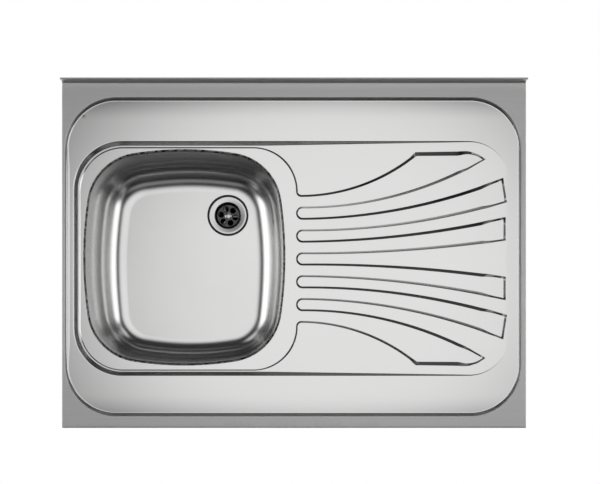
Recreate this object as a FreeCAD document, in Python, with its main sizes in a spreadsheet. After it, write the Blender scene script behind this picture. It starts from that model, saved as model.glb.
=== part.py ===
import FreeCAD, Part
import math
import os

import Sketcher
from FreeCAD import Placement, Rotation, Vector

# Lay-on kitchen sink for an 800 mm wide, 600 mm deep cabinet: one pressed deck with a raised
# rim, a rear upstand and a fanned drainer on the right, and a deep bowl welded in on the left.
# X runs along the front from left to right, Y from the front to the wall, Z upwards.
# The origin is the middle of the footprint, on the top edges of the cabinet.

SIZES = {
    # Footprint, rim and sheet
    "overall_width": 800,
    "overall_depth": 600,
    "rim_height": 32,
    "sheet_wall": 0.8,
    "edge_radius": 2,
    "side_edge_radius": 1,
    "upstand_height": 20,
    "hem_thickness": 3,
    "hem_radius": 1.2,
    "cove_radius": 4,
    # Deck, stepped down inside the rim
    "deck_step": 5,
    "deck_left_strip": 7,
    "deck_right_strip": 9.5,
    "deck_rear_strip": 31,
    "deck_front_strip": 21,
    "deck_corner_radius": 85,
    "deck_wall_run": 4,
    # Tray that holds the bowl and the drainer, flat at the bowl and rising to the right
    "tray_step": 8,
    "tray_left_strip": 25.2,
    "tray_rear_strip": 110.7,
    "tray_front_strip": 97.7,
    "tray_right_strip": 35,
    "tray_left_radius": 78,
    "tray_right_radius": 62,
    "tray_wall_run": 7,
    "tray_kink_x": -52,
    # Bowl surround and the drainer's channels, pressed below the tray
    "surround_step": 1.75,
    "surround_left_strip": 28.4,
    "surround_half_depth": 193,
    "surround_radius": 75,
    "drainer_center_y": -7.5,
    "channel_wall_run": 1.8,
    "channel_end_depth": 4.7,
    "channel_tip_x": 5,
    "channel_end_x": 361,
    "channel_corner_radius": 3,
    "fan_start_reach": 109.2,
    "fan_end_reach": 196.4,
    "outer_line_radius": 318,
    "outer_tip_radius": 8,
    "outer_wall_reach": 179.5,
    "outer_wall_end_x": 297,
    "outer_nose_radius": 52,
    # Bowl
    "bowl_center_x": -190.6,
    "bowl_center_y": -4.7,
    "bowl_half_width": 174.8,
    "bowl_half_depth": 187,
    "bowl_corner_radius": 95,
    "bowl_side_radius": 700,
    "bowl_end_radius": 560,
    "bowl_depth": 150,
    "bowl_draft": 11,
    "bowl_bottom_radius": 45,
    "bowl_rim_radius": 3,
    "bowl_flange": 2,
    "pad_width": 150,
    "pad_depth": 120,
    "pad_thickness": 3,
    "pad_corner_radius": 12,
    "pad_center_x": -215,
    "pad_center_y": -45,
    # Waste, on one vertical axis in the rear right of the bowl's floor
    "waste_x": -123.4,
    "waste_y": 84.4,
    "recess_radius": 38.2,
    "recess_depth": 2.4,
    "waste_hole_radius": 26,
    "strainer_radius": 35,
    "strainer_wall": 1,
    "strainer_cup_radius": 23.5,
    "strainer_cup_depth": 10,
    "strainer_lip_radius": 1,
    "strainer_hole_radius": 5.2,
    "strainer_hole_circle": 13.6,
    "strainer_hole_angle": -11.5,
    "top_seal_inset": 1,
    "top_seal_thickness": 1,
    "body_seal_radius": 37.5,
    "body_seal_thickness": 3,
    "waste_flange_radius": 39,
    "waste_flange_thickness": 4,
    "waste_cup_radius": 27,
    "waste_wall": 3,
    "waste_cup_depth": 13,
    "waste_funnel_depth": 9,
    "outlet_radius": 23.9,
    "outlet_wall": 4.9,
    "outlet_length": 28,
    "spider_arm_width": 3,
    "spider_arm_height": 8,
    "spider_boss_radius": 8,
    "spider_boss_height": 14,
    "insert_flats": 9,
    "insert_height": 8,
    "waste_screw_radius": 2.95,
    "waste_screw_head_radius": 6.5,
    "waste_screw_head_height": 2.4,
    "waste_screw_length": 19,
    "waste_screw_slot": 1.6,
    "running_clearance": 0.05,
    "seat_gap": 0.3,
    # Timber frame under the deck
    "long_batten_width": 60,
    "left_batten_width": 15.5,
    "right_batten_width": 24,
    "cross_batten_width": 40,
    "cross_batten_x": 22,
    "drainer_batten_x": 200,
    # Swivelling hold-down brackets and their screws
    "cabinet_wall": 16,
    "bracket_wall": 2,
    "bracket_width": 24,
    "bracket_reach": 14,
    "bracket_tail": 14,
    "bracket_drop": 46,
    "bracket_bend_radius": 1.5,
    "bracket_slot_radius": 2.6,
    "bracket_slot_length": 12,
    "bracket_slot_spacing": 18,
    "bracket_slot_drop": 25,
    "bracket_screw_radius": 2.2,
    "bracket_screw_head_radius": 4.6,
    "bracket_screw_head_height": 2.6,
    "bracket_screw_length": 17,
    "bracket_screw_slot": 1.2,
    "bracket_groove_width": 38,
    "bracket_groove_depth": 5,
    # Earth terminal
    "earth_x": 120,
    "earth_rear_strip": 82,
    "earth_wall": 1.5,
    "earth_width": 16,
    "earth_foot": 14,
    "earth_drop": 20,
    "earth_hole_drop": 12,
    "earth_screw_radius": 2.45,
    "earth_head_radius": 4.2,
    "earth_head_height": 2.8,
    "earth_screw_length": 10,
    "earth_screw_slot": 1.2,
    "earth_nut_flats": 8,
    "earth_nut_height": 4,
    # Overrun of every cutting solid, and the distance within which two places count as one
    "cut_overrun": 1,
    "same_place": 0.0001,
}

# Where the drainer's lines start and end, from the middle line outwards, as shares of
# fan_start_reach and fan_end_reach. The outermost line has a radius of its own.
FAN_START_SHARES = (1 / 11, 3 / 11, 5 / 11, 7 / 11, 9 / 11, 1)
FAN_END_SHARES = (0.182, 0.335, 0.515, 0.677, 1)

# A slotted screw's head is straight up to the first share of its height and then slopes in to the
# second share of its radius. The third is its slot's depth, and the last its tip's radius.
SCREW_CROWN_SHARE = 0.6
SCREW_FACE_SHARE = 0.75
SCREW_SLOT_SHARE = 0.5
SCREW_TIP_SHARE = 0.7

# Corners of a hexagon as shares of the distance from its middle to a corner.
HEXAGON_SHARES = [(math.cos(math.radians(60 * k)), math.sin(math.radians(60 * k))) for k in range(6)]

doc = FreeCAD.newDocument("kitchen_sink")
sheet = doc.addObject("Spreadsheet::Sheet", "sizes")
for row, (alias, value) in enumerate(SIZES.items(), start=1):
    sheet.set(f"A{row}", alias)
    sheet.set(f"B{row}", str(value))
    sheet.setAlias(f"B{row}", alias)
doc.recompute()


def number(expression):
    """The value of an expression on the sheet's sizes."""
    return float(sheet.evalExpression(expression))


def size(alias):
    """One size of the sheet."""
    return float(sheet.get(alias))


# Levels and places that several pieces share, as expressions on the sheet
DECK_UNDERSIDE = "(sizes.rim_height - sizes.deck_step - sizes.sheet_wall)"
SURROUND_LEVEL = "(sizes.rim_height - sizes.deck_step - sizes.tray_step - sizes.surround_step)"
BOWL_FLOOR = f"({SURROUND_LEVEL} - sizes.bowl_depth)"
RECESS_FLOOR = f"({BOWL_FLOOR} - sizes.recess_depth)"
WASTE_TOP = f"({RECESS_FLOOR} - sizes.sheet_wall - sizes.body_seal_thickness)"
STRAINER_BASE = f"({RECESS_FLOOR} + sizes.top_seal_thickness)"
STRAINER_PLATE_TOP = f"({STRAINER_BASE} + sizes.strainer_wall - sizes.strainer_cup_depth)"
INNER_HALF_WIDTH = "(sizes.overall_width / 2 - sizes.sheet_wall - sizes.seat_gap)"
INNER_HALF_DEPTH = "(sizes.overall_depth / 2 - sizes.sheet_wall - sizes.seat_gap)"
LONG_BATTEN_INNER_Y = f"({INNER_HALF_DEPTH} - sizes.long_batten_width)"
PIVOT_X = "(sizes.overall_width / 2 - sizes.cabinet_wall - sizes.seat_gap - sizes.bracket_reach)"
PIVOT_Y = f"({INNER_HALF_DEPTH} - sizes.long_batten_width / 2)"


# Outlines made of tangent arcs. An arc is its centre, radius, first and last angle, and +1
# where the outline's outside lies away from the centre or -1 where it lies towards it.
# Arcs that don't meet are joined by a straight side.


def arc(center_x, center_y, radius, first, last, outward=1):
    """One arc of an outline, with its angles in degrees."""
    return (center_x, center_y, radius, math.radians(first), math.radians(last), outward)


def outline_wire(arcs, level, grow=0.0):
    """The closed wire of an outline at a level, moved outwards by grow."""

    def point(one, angle):
        radius = one[2] + one[5] * grow
        return Vector(one[0] + radius * math.cos(angle), one[1] + radius * math.sin(angle), level)

    edges = []
    for one, following in zip(arcs, arcs[1:] + arcs[:1]):
        start, end = point(one, one[3]), point(one, one[4])
        middle = point(one, (one[3] + one[4]) / 2)
        edges.append(Part.Arc(start, middle, end).toShape())
        next_start = point(following, following[3])
        if end.distanceToPoint(next_start) > size("same_place"):
            edges.append(Part.makeLine(end, next_start))
    return Part.Wire(edges)


def drafted_prism(arcs, low, high, run_per_rise, grow=0.0):
    """A solid on an outline whose walls lean outwards as they rise."""
    foot = outline_wire(arcs, low, grow)
    brim = outline_wire(arcs, high, grow + run_per_rise * (high - low))
    return Part.makeLoft([foot, brim], True, True)


def rounded_rectangle(left, right, front, rear, left_radius, right_radius):
    """The outline of a rectangle with one radius on its left and one on its right corners."""
    return [
        arc(left + left_radius, rear - left_radius, left_radius, 180, 90),
        arc(right - right_radius, rear - right_radius, right_radius, 90, 0),
        arc(right - right_radius, front + right_radius, right_radius, 0, -90),
        arc(left + left_radius, front + left_radius, left_radius, -90, -180),
    ]


def barrel_outline(center_x, center_y, half_width, half_depth, side_radius, end_radius, corner):
    """The bowl's outline: four slightly bowed sides, tangent to four corner arcs."""
    side_offset = side_radius - half_width
    end_offset = end_radius - half_depth
    # A corner's centre lies at known distances from the centres of its two sides
    to_side = side_radius - corner
    to_end = end_radius - corner
    span = math.hypot(side_offset, end_offset)
    along = (to_side**2 - to_end**2 + span**2) / (2 * span)
    across = math.sqrt(to_side**2 - along**2)
    unit_x, unit_y = side_offset / span, -end_offset / span
    corner_x = -side_offset + along * unit_x - across * unit_y
    corner_y = along * unit_y + across * unit_x
    side_angle = math.degrees(math.atan2(corner_y, corner_x + side_offset))
    end_angle = math.degrees(math.atan2(corner_y + end_offset, corner_x))
    arcs = []
    for turn in range(2):
        flip = 1 - 2 * turn
        base = 180 * turn
        arcs.append(arc(center_x - flip * side_offset, center_y, side_radius,
                        base - side_angle, base + side_angle))
        arcs.append(arc(center_x + flip * corner_x, center_y + flip * corner_y, corner,
                        base + side_angle, base + end_angle))
        arcs.append(arc(center_x, center_y - flip * end_offset, end_radius,
                        base + end_angle, base + 180 - end_angle))
        arcs.append(arc(center_x - flip * corner_x, center_y + flip * corner_y, corner,
                        base + 180 - end_angle, base + 180 - side_angle))
    return arcs


def mirrored_about(arcs, axis_y):
    """The arcs in reverse order, mirrored across the line y = axis_y."""
    return [(x, 2 * axis_y - y, radius, -last, -first, outward)
            for x, y, radius, first, last, outward in reversed(arcs)]


def fan_radius(start_x, start_reach, end_x, end_reach):
    """Radius of the arc that leaves start_x along X and reaches end_reach at end_x."""
    run, rise = end_x - start_x, end_reach - start_reach
    return (run**2 + rise**2) / (2 * rise)


def circle_crossing(first, first_radius, second, second_radius):
    """The crossing of two circles that lies on the right of the line from first to second."""
    span = math.hypot(second[0] - first[0], second[1] - first[1])
    unit_x, unit_y = (second[0] - first[0]) / span, (second[1] - first[1]) / span
    along = (first_radius**2 - second_radius**2 + span**2) / (2 * span)
    across = math.sqrt(first_radius**2 - along**2)
    return (first[0] + along * unit_x + across * unit_y, first[1] + along * unit_y - across * unit_x)


def direction(start, end):
    """The angle in degrees of the way from one point to another."""
    return math.degrees(math.atan2(end[1] - start[1], end[0] - start[0]))


def surround_outline():
    """Bowl surround and six channels as one winding outline, symmetric about the drainer's middle.

    Each channel is open to the surround on the left. Its two long lines are arcs that start
    along X, and its right end is square, but the outermost channel ends in a pointed nose.
    """
    middle = size("drainer_center_y")
    tip_x, end_x = size("channel_tip_x"), size("channel_end_x")
    starts = [share * size("fan_start_reach") for share in FAN_START_SHARES]
    ends = [share * size("fan_end_reach") for share in FAN_END_SHARES]
    rib_radius = (starts[2] - starts[1]) / 2
    start_x = tip_x + rib_radius
    corner = size("channel_corner_radius")
    left = size("surround_left_strip") - size("overall_width") / 2
    rear = size("surround_half_depth")
    left_radius = size("surround_radius")

    # Left rear corner, right rear corner and the small tip where the outermost line begins
    tip = size("outer_tip_radius")
    quarter_y = starts[5] + tip
    right_radius = rear - quarter_y
    half = [
        arc(left + left_radius, rear - left_radius, left_radius, 180, 90),
        arc(tip_x - right_radius, quarter_y, right_radius, 90, 0),
        arc(tip_x + tip, quarter_y, tip, 180, 270, -1),
    ]

    # Outermost line, its corner with the straight wall, the wall and the nose
    outer_radius = size("outer_line_radius")
    outer = (tip_x + tip, starts[5] + outer_radius)
    wall_y = size("outer_wall_reach")
    drop = outer[1] - wall_y + corner
    knee = (outer[0] + math.sqrt((outer_radius + corner) ** 2 - drop**2), wall_y - corner)
    knee_angle = direction(outer, knee)
    half.append(arc(*outer, outer_radius, -90, knee_angle, -1))
    half.append(arc(*knee, corner, knee_angle + 180, 90))
    nose_radius = size("outer_nose_radius")
    nose = (size("outer_wall_end_x"), wall_y - nose_radius)
    line_radius = fan_radius(start_x, starts[4], end_x, ends[4])
    line = (start_x, starts[4] + line_radius)
    tip_center = circle_crossing(line, line_radius - corner, nose, nose_radius - corner)
    if tip_center[0] < nose[0]:
        tip_center = circle_crossing(nose, nose_radius - corner, line, line_radius - corner)
    half.append(arc(*nose, nose_radius, 90, direction(nose, tip_center)))
    half.append(arc(*tip_center, corner, direction(nose, tip_center), direction(line, tip_center)))
    half.append(arc(*line, line_radius, direction(line, tip_center), -90))

    # Then a rib's round end, the line above a channel, its square end and the line below it
    for upper, lower in ((3, 2), (1, 0)):
        half.append(arc(start_x, (starts[upper] + starts[upper + 1]) / 2, rib_radius, 90, 270, -1))
        upper_radius = fan_radius(start_x, starts[upper], end_x, ends[upper])
        upper_line = (start_x, starts[upper] + upper_radius)
        run = end_x - corner - start_x
        upper_y = upper_line[1] - math.sqrt((upper_radius + corner) ** 2 - run**2)
        upper_corner = (end_x - corner, upper_y)
        angle = direction(upper_line, upper_corner)
        half.append(arc(*upper_line, upper_radius, -90, angle, -1))
        half.append(arc(*upper_corner, corner, angle + 180, 0))
        lower_radius = fan_radius(start_x, starts[lower], end_x, ends[lower])
        lower_line = (start_x, starts[lower] + lower_radius)
        lower_y = lower_line[1] - math.sqrt((lower_radius - corner) ** 2 - run**2)
        lower_corner = (end_x - corner, lower_y)
        angle = direction(lower_line, lower_corner)
        half.append(arc(*lower_corner, corner, 0, angle))
        half.append(arc(*lower_line, lower_radius, angle, -90))

    upper_half = [(x, y + middle, radius, first, last, outward)
                  for x, y, radius, first, last, outward in half]
    middle_rib = [arc(start_x, middle, rib_radius, 90, 270, -1)]
    return upper_half + middle_rib + mirrored_about(upper_half, middle)


def floor_wedge(points, front, rear):
    """Everything above a floor that is drawn from the front, as a list of X and Z."""
    corners = [Vector(x, front, z) for x, z in points]
    face = Part.Face(Part.makePolygon(corners + corners[:1]))
    return face.extrude(Vector(0, rear - front, 0))


def deck_recesses(grow):
    """The hollows pressed into the block, or with grow = the sheet's wall, their outsides."""
    half_width, half_depth = size("overall_width") / 2, size("overall_depth") / 2
    rim = size("rim_height")
    deck = rim - size("deck_step")
    tray = deck - size("tray_step")
    surround = tray - size("surround_step")
    overrun = size("cut_overrun")

    deck_outline = rounded_rectangle(
        size("deck_left_strip") - half_width + size("deck_wall_run"),
        half_width - size("deck_right_strip") - size("deck_wall_run"),
        size("deck_front_strip") - half_depth + size("deck_wall_run"),
        half_depth - size("deck_rear_strip") - size("deck_wall_run"),
        size("deck_corner_radius"), size("deck_corner_radius"))
    deck_slope = size("deck_wall_run") / size("deck_step")
    deck_hollow = drafted_prism(deck_outline, deck - grow, rim + overrun, deck_slope, grow)

    crease_x = half_width - size("tray_right_strip")
    tray_outline = rounded_rectangle(
        size("tray_left_strip") - half_width, crease_x,
        size("tray_front_strip") - half_depth, half_depth - size("tray_rear_strip"),
        size("tray_left_radius"), size("tray_right_radius"))
    tray_slope = size("tray_wall_run") / size("tray_step")
    tray_hollow = drafted_prism(tray_outline, tray - grow, deck + overrun, tray_slope, grow)
    left_x = -half_width
    tray_floor = floor_wedge(
        [(left_x, tray - grow), (size("tray_kink_x"), tray - grow), (crease_x, deck - grow),
         (crease_x, deck + overrun), (left_x, deck + overrun)],
        -half_depth, half_depth)
    tray_hollow = tray_hollow.common(tray_floor)

    channel_slope = size("channel_wall_run") / size("channel_end_depth")
    channels = drafted_prism(surround_outline(), surround - grow, deck + overrun, channel_slope, grow)
    tip_x = size("channel_tip_x")
    channel_floor = floor_wedge(
        [(left_x, surround - grow), (tip_x, surround - grow),
         (half_width, deck - size("channel_end_depth") - grow),
         (half_width, deck + overrun), (left_x, deck + overrun)],
        -half_depth, half_depth)
    channels = channels.common(channel_floor)
    return [deck_hollow, tray_hollow, channels]


def deck_block(inset):
    """The rim's block with its upstand, or with inset = the sheet's wall, the space inside it."""
    width, depth = size("overall_width"), size("overall_depth")
    top = size("rim_height")
    hem, cove = size("hem_thickness"), size("cove_radius")
    front, rear = -depth / 2, depth / 2
    if inset:
        corner = Vector(inset - width / 2, front + inset, -size("cut_overrun"))
        return Part.makeBox(width - 2 * inset, depth - 2 * inset,
                            top - inset + size("cut_overrun"), corner)
    upstand_top = top + size("upstand_height")
    round_x = -width / 2
    hem_radius = size("hem_radius")

    def at(y, z):
        return Vector(round_x, y, z)

    def quarter(center_y, center_z, radius, first):
        angles = [math.radians(first + turn) for turn in (0, 45, 90)]
        return [at(center_y + radius * math.cos(a), center_z + radius * math.sin(a)) for a in angles]

    # Side profile: front edge, flat rim, cove, upstand, rounded hem and the back
    edge = size("edge_radius")
    front_edge = quarter(front + edge, top - edge, edge, 90)[::-1]
    cove_arc = quarter(rear - hem - cove, top + cove, cove, -90)
    hem_front = quarter(rear - hem + hem_radius, upstand_top - hem_radius, hem_radius, 90)[::-1]
    hem_back = quarter(rear - hem_radius, upstand_top - hem_radius, hem_radius, 0)[::-1]
    bends = [front_edge, cove_arc, hem_front, hem_back]
    edges = [Part.makeLine(at(front, 0), front_edge[0])]
    for bend, following in zip(bends, bends[1:] + [[at(rear, 0)]]):
        edges.append(Part.Arc(*bend).toShape())
        edges.append(Part.makeLine(bend[-1], following[0]))
    edges.append(Part.makeLine(at(rear, 0), at(front, 0)))
    block = Part.Face(Part.Wire(edges)).extrude(Vector(width, 0, 0))

    # The sheet also turns over the two ends, where the profile's outline gets its own radius
    reach = size("same_place")
    ends = [edge for edge in block.Edges
            if edge.BoundBox.XLength < reach and edge.BoundBox.ZMax > reach]
    return block.makeFillet(size("side_edge_radius"), ends)


def pressed_deck():
    """The deck as one sheet: outer block less the hollows, less the same block set in by the wall."""
    wall = size("sheet_wall")
    sheet_solid = deck_block(0).cut(deck_recesses(0))
    inside = deck_block(wall).cut(deck_recesses(wall))
    sheet_solid = sheet_solid.cut(inside)
    surround = number(SURROUND_LEVEL)
    opening = Part.Face(outline_wire(bowl_outline(), surround - size("rim_height"),
                                     size("bowl_flange"))).extrude(Vector(0, 0, 2 * size("rim_height")))
    return sheet_solid.cut(opening)


def bowl_outline():
    """The bowl's mouth, at the line where the sheet starts to turn down."""
    return barrel_outline(size("bowl_center_x"), size("bowl_center_y"),
                          size("bowl_half_width"), size("bowl_half_depth"),
                          size("bowl_side_radius"), size("bowl_end_radius"),
                          size("bowl_corner_radius"))


def edges_at(shape, level):
    """The edges that lie wholly at one level."""
    reach = size("same_place")
    return [edge for edge in shape.Edges
            if abs(edge.BoundBox.ZMin - level) < reach and abs(edge.BoundBox.ZMax - level) < reach]


def middle_of(edge):
    """The point halfway along an edge."""
    return edge.valueAt((edge.FirstParameter + edge.LastParameter) / 2)


def bowl_volume(grow, brim, brim_height):
    """The bowl's inner volume with grow = 0, or its outer volume with grow = the sheet's wall.

    The wall is a drafted prism with a round bottom edge, and a slab as wide as brim turns its
    top edge into the rolled rim.
    """
    top = number(SURROUND_LEVEL) - grow
    floor = number(BOWL_FLOOR) - grow
    rim_radius = size("bowl_rim_radius") - grow
    mouth = outline_wire(bowl_outline(), top, grow - size("bowl_rim_radius"))
    bottom = outline_wire(bowl_outline(), floor, grow - size("bowl_draft"))
    well = Part.makeLoft([bottom, mouth], True, True)
    well = well.makeFillet(size("bowl_bottom_radius") + grow, edges_at(well, floor))
    slab = Part.Face(outline_wire(bowl_outline(), top, brim)).extrude(Vector(0, 0, brim_height))
    joined = well.fuse(slab)
    rolled = [edge for edge in edges_at(joined, top)
              if mouth.distToShape(Part.Vertex(middle_of(edge)))[0] < size("same_place")]
    return joined.makeFillet(rim_radius, rolled)


def pressed_bowl():
    """The bowl as one sheet, with its flange, its waste recess and the hole for the waste."""
    wall = size("sheet_wall")
    outer = bowl_volume(wall, size("bowl_flange"), wall)
    inner = bowl_volume(0, size("bowl_flange") + size("cut_overrun"), size("cut_overrun"))
    axis_x, axis_y = size("waste_x"), size("waste_y")
    recess = number(RECESS_FLOOR)
    depth = size("recess_depth")

    def disc(radius, low, height):
        return Part.makeCylinder(radius, height, Vector(axis_x, axis_y, low))

    outer = outer.fuse(disc(size("recess_radius") + wall, recess - wall, depth + wall))
    inner = inner.fuse(disc(size("recess_radius"), recess, depth + size("cut_overrun")))
    hole = disc(size("waste_hole_radius"), recess - wall - size("cut_overrun"),
                wall + 2 * size("cut_overrun"))
    return outer.cut(inner).cut(hole)


def add_shape(name, shape):
    """A sub-part whose shape was worked out above."""
    piece = doc.addObject("Part::Feature", name)
    piece.Label = name
    piece.Shape = shape
    return piece


# Bodies, sketches and features, with every size bound to the sheet


def new_body(name, x, y, z, rotation=None):
    """A body placed by three expressions, and turned if a rotation is given."""
    body = doc.addObject("PartDesign::Body", name)
    body.Label = name
    if rotation:
        body.Placement = Placement(Vector(0, 0, 0), rotation)
    for axis, expression in zip("xyz", (x, y, z)):
        body.setExpression(f"Placement.Base.{axis}", expression)
    return body


def new_sketch(body, name, role="XY_Plane", offset="0"):
    """A sketch on one of the body's own planes, moved along its normal by offset."""
    sketch = body.newObject("Sketcher::SketchObject", f"{body.Name}_{name}")
    plane = next(item for item in body.Origin.OriginFeatures if item.Role == role)
    sketch.AttachmentSupport = (plane, [""])
    sketch.MapMode = "FlatFace"
    sketch.setExpression("AttachmentOffset.Base.z", offset)
    return sketch


def bind(sketch, kind, *where, expression):
    """A dimension of the sketch, bound to an expression."""
    index = sketch.addConstraint(Sketcher.Constraint(kind, *where, number(expression)))
    sketch.setExpression(f"Constraints[{index}]", expression)


def place_point(sketch, geometry, vertex, x, y):
    """Holds a point of the sketch at X and Y from its origin."""
    bind(sketch, "DistanceX", -1, 1, geometry, vertex, expression=x)
    bind(sketch, "DistanceY", -1, 1, geometry, vertex, expression=y)


def draw_polygon(sketch, corners):
    """A closed outline of straight sides. Each corner is a pair of expressions."""
    points = [Vector(number(x), number(y), 0) for x, y in corners]
    first = sketch.GeometryCount
    count = len(points)
    for k in range(count):
        sketch.addGeometry(Part.LineSegment(points[k], points[(k + 1) % count]), False)
    for k in range(count):
        sketch.addConstraint(Sketcher.Constraint("Coincident", first + k, 2, first + (k + 1) % count, 1))
    for k, (x, y) in enumerate(corners):
        place_point(sketch, first + k, 1, x, y)


def draw_rectangle(sketch, left, right, low, high):
    """A rectangle from four expressions."""
    draw_polygon(sketch, [(left, low), (right, low), (right, high), (left, high)])


def draw_circle(sketch, x, y, radius):
    """A circle from three expressions."""
    index = sketch.addGeometry(Part.Circle(Vector(number(x), number(y), 0), Vector(0, 0, 1),
                                           number(radius)), False)
    bind(sketch, "Radius", index, expression=radius)
    place_point(sketch, index, 3, x, y)


def draw_slot(sketch, x, y, length, radius):
    """An upright slot with round ends, from four expressions."""
    half = number(f"{length} / 2 - {radius}")
    center = Vector(number(x), number(y), 0)
    around = Vector(0, 0, 1)
    ends = []
    for sign, start in ((1, 0), (-1, math.pi)):
        circle = Part.Circle(center + Vector(0, sign * half, 0), around, number(radius))
        ends.append(sketch.addGeometry(Part.ArcOfCircle(circle, start, start + math.pi), False))
    upper, lower = ends
    side = Vector(number(radius), 0, 0)
    rise = Vector(0, half, 0)
    left = sketch.addGeometry(Part.LineSegment(center - side + rise, center - side - rise), False)
    right = sketch.addGeometry(Part.LineSegment(center + side - rise, center + side + rise), False)
    for first, first_end, second, second_end in ((upper, 2, left, 1), (left, 2, lower, 1),
                                                 (lower, 2, right, 1), (right, 2, upper, 1)):
        sketch.addConstraint(Sketcher.Constraint("Tangent", first, first_end, second, second_end))
    bind(sketch, "Radius", upper, expression=radius)
    place_point(sketch, upper, 3, x, f"{y} + {length} / 2 - {radius}")
    place_point(sketch, lower, 3, x, f"{y} - {length} / 2 + {radius}")


def draw_hexagon(sketch, flats):
    """A hexagon round the sketch's origin, from the expression of its width across flats."""
    draw_polygon(sketch, [(f"({x}) * {flats} / sqrt(3)", f"({y}) * {flats} / sqrt(3)")
                          for x, y in HEXAGON_SHARES])


def add_pad(body, sketch, length, both_ways=False):
    """Pads a sketch upwards by an expression, or half of it each way."""
    pad = body.newObject("PartDesign::Pad", f"{sketch.Name}_pad")
    pad.Profile = sketch
    pad.SideType = "Symmetric" if both_ways else "One side"
    pad.setExpression("Length", length)
    body.Tip = pad
    return pad


def add_pocket(body, sketch, depth=None, upwards=False, both_ways=False):
    """Cuts a sketch through all, or to a depth, downwards unless told otherwise."""
    doc.recompute()
    before = body.Shape.Volume
    pocket = body.newObject("PartDesign::Pocket", f"{sketch.Name}_pocket")
    pocket.Profile = sketch
    pocket.SideType = "Symmetric" if both_ways else "One side"
    pocket.Reversed = upwards
    if depth:
        pocket.Type = "Length"
        pocket.setExpression("Length", depth)
    else:
        pocket.Type = "ThroughAll"
    body.Tip = pocket
    doc.recompute()
    if body.Shape.Volume >= before:
        raise RuntimeError(f"{pocket.Name} cuts nothing")
    return pocket


def add_revolution(body, sketch):
    """Turns a half profile, drawn as radius and height, round the body's Z axis."""
    revolution = body.newObject("PartDesign::Revolution", f"{sketch.Name}_turned")
    revolution.Profile = sketch
    revolution.ReferenceAxis = (sketch, ["V_Axis"])
    revolution.Angle = 360
    body.Tip = revolution
    return revolution


def add_polar(body, feature, sketch, count):
    """Repeats a feature round the normal of its sketch's origin."""
    pattern = body.newObject("PartDesign::PolarPattern", f"{feature.Name}_round")
    pattern.Originals = [feature]
    pattern.Axis = (sketch, ["N_Axis"])
    pattern.Angle = 360
    pattern.Occurrences = count
    body.Tip = pattern
    doc.recompute()
    return pattern


def turned(name, x, y, z, profile, rotation=None):
    """A turned piece: a body with one revolved profile."""
    body = new_body(name, x, y, z, rotation)
    sketch = new_sketch(body, "profile", "XZ_Plane")
    draw_polygon(sketch, profile)
    add_revolution(body, sketch)
    return body


def slotted_screw(name, x, y, z, radius, length, head_radius, head_height, slot, rotation=None):
    """A screw with a domed slotted head above its origin and its shank below it."""
    body = turned(name, x, y, z, [
        ("0", f"-{length}"), (f"{radius} * {SCREW_TIP_SHARE}", f"-{length}"),
        (radius, f"-{length} + {radius}"), (radius, "0"), (head_radius, "0"),
        (head_radius, f"{head_height} * {SCREW_CROWN_SHARE}"),
        (f"{head_radius} * {SCREW_FACE_SHARE}", head_height), ("0", head_height)], rotation)
    cut = new_sketch(body, "slot", "XY_Plane", head_height)
    draw_rectangle(cut, f"-{head_radius} - sizes.cut_overrun", f"{head_radius} + sizes.cut_overrun",
                   f"-{slot} / 2", f"{slot} / 2")
    add_pocket(body, cut, f"{head_height} * {SCREW_SLOT_SHARE}")
    return body


def bowl_pad():
    """The sound-deadening pad stuck under the bowl's floor."""
    body = new_body("bowl_pad", "sizes.pad_center_x", "sizes.pad_center_y",
                    f"{BOWL_FLOOR} - sizes.sheet_wall - sizes.pad_thickness")
    sketch = new_sketch(body, "outline")
    draw_rectangle(sketch, "-sizes.pad_width / 2", "sizes.pad_width / 2",
                   "-sizes.pad_depth / 2", "sizes.pad_depth / 2")
    pad = add_pad(body, sketch, "sizes.pad_thickness")
    doc.recompute()
    upright = [f"Edge{k}" for k, edge in enumerate(pad.Shape.Edges, start=1)
               if edge.BoundBox.ZLength > edge.BoundBox.XLength + edge.BoundBox.YLength]
    fillet = body.newObject("PartDesign::Fillet", "bowl_pad_corners")
    fillet.Base = (pad, upright)
    fillet.setExpression("Radius", "sizes.pad_corner_radius")
    body.Tip = fillet
    return body


def batten(name, left, right, front, rear, height, pivots=()):
    """A timber batten on the cabinet's top plane.

    At each pivot it has a groove across its underside, in which a bracket swivels without
    touching the cabinet, and a blind pilot hole for the bracket's screw.
    """
    body = new_body(name, "0", "0", "0")
    sketch = new_sketch(body, "section")
    draw_rectangle(sketch, left, right, front, rear)
    add_pad(body, sketch, height)
    if pivots:
        grooves = new_sketch(body, "grooves")
        holes = new_sketch(body, "pilots", "XY_Plane", "sizes.bracket_groove_depth")
        for x, y in pivots:
            draw_rectangle(grooves, f"{x} - sizes.bracket_groove_width / 2",
                           f"{x} + sizes.bracket_groove_width / 2",
                           f"{front} - sizes.cut_overrun", f"{rear} + sizes.cut_overrun")
            draw_circle(holes, x, y, "sizes.bracket_screw_radius + sizes.running_clearance")
        add_pocket(body, grooves, "sizes.bracket_groove_depth", upwards=True)
        add_pocket(body, holes, "sizes.bracket_screw_length", upwards=True)
    return body


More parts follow.
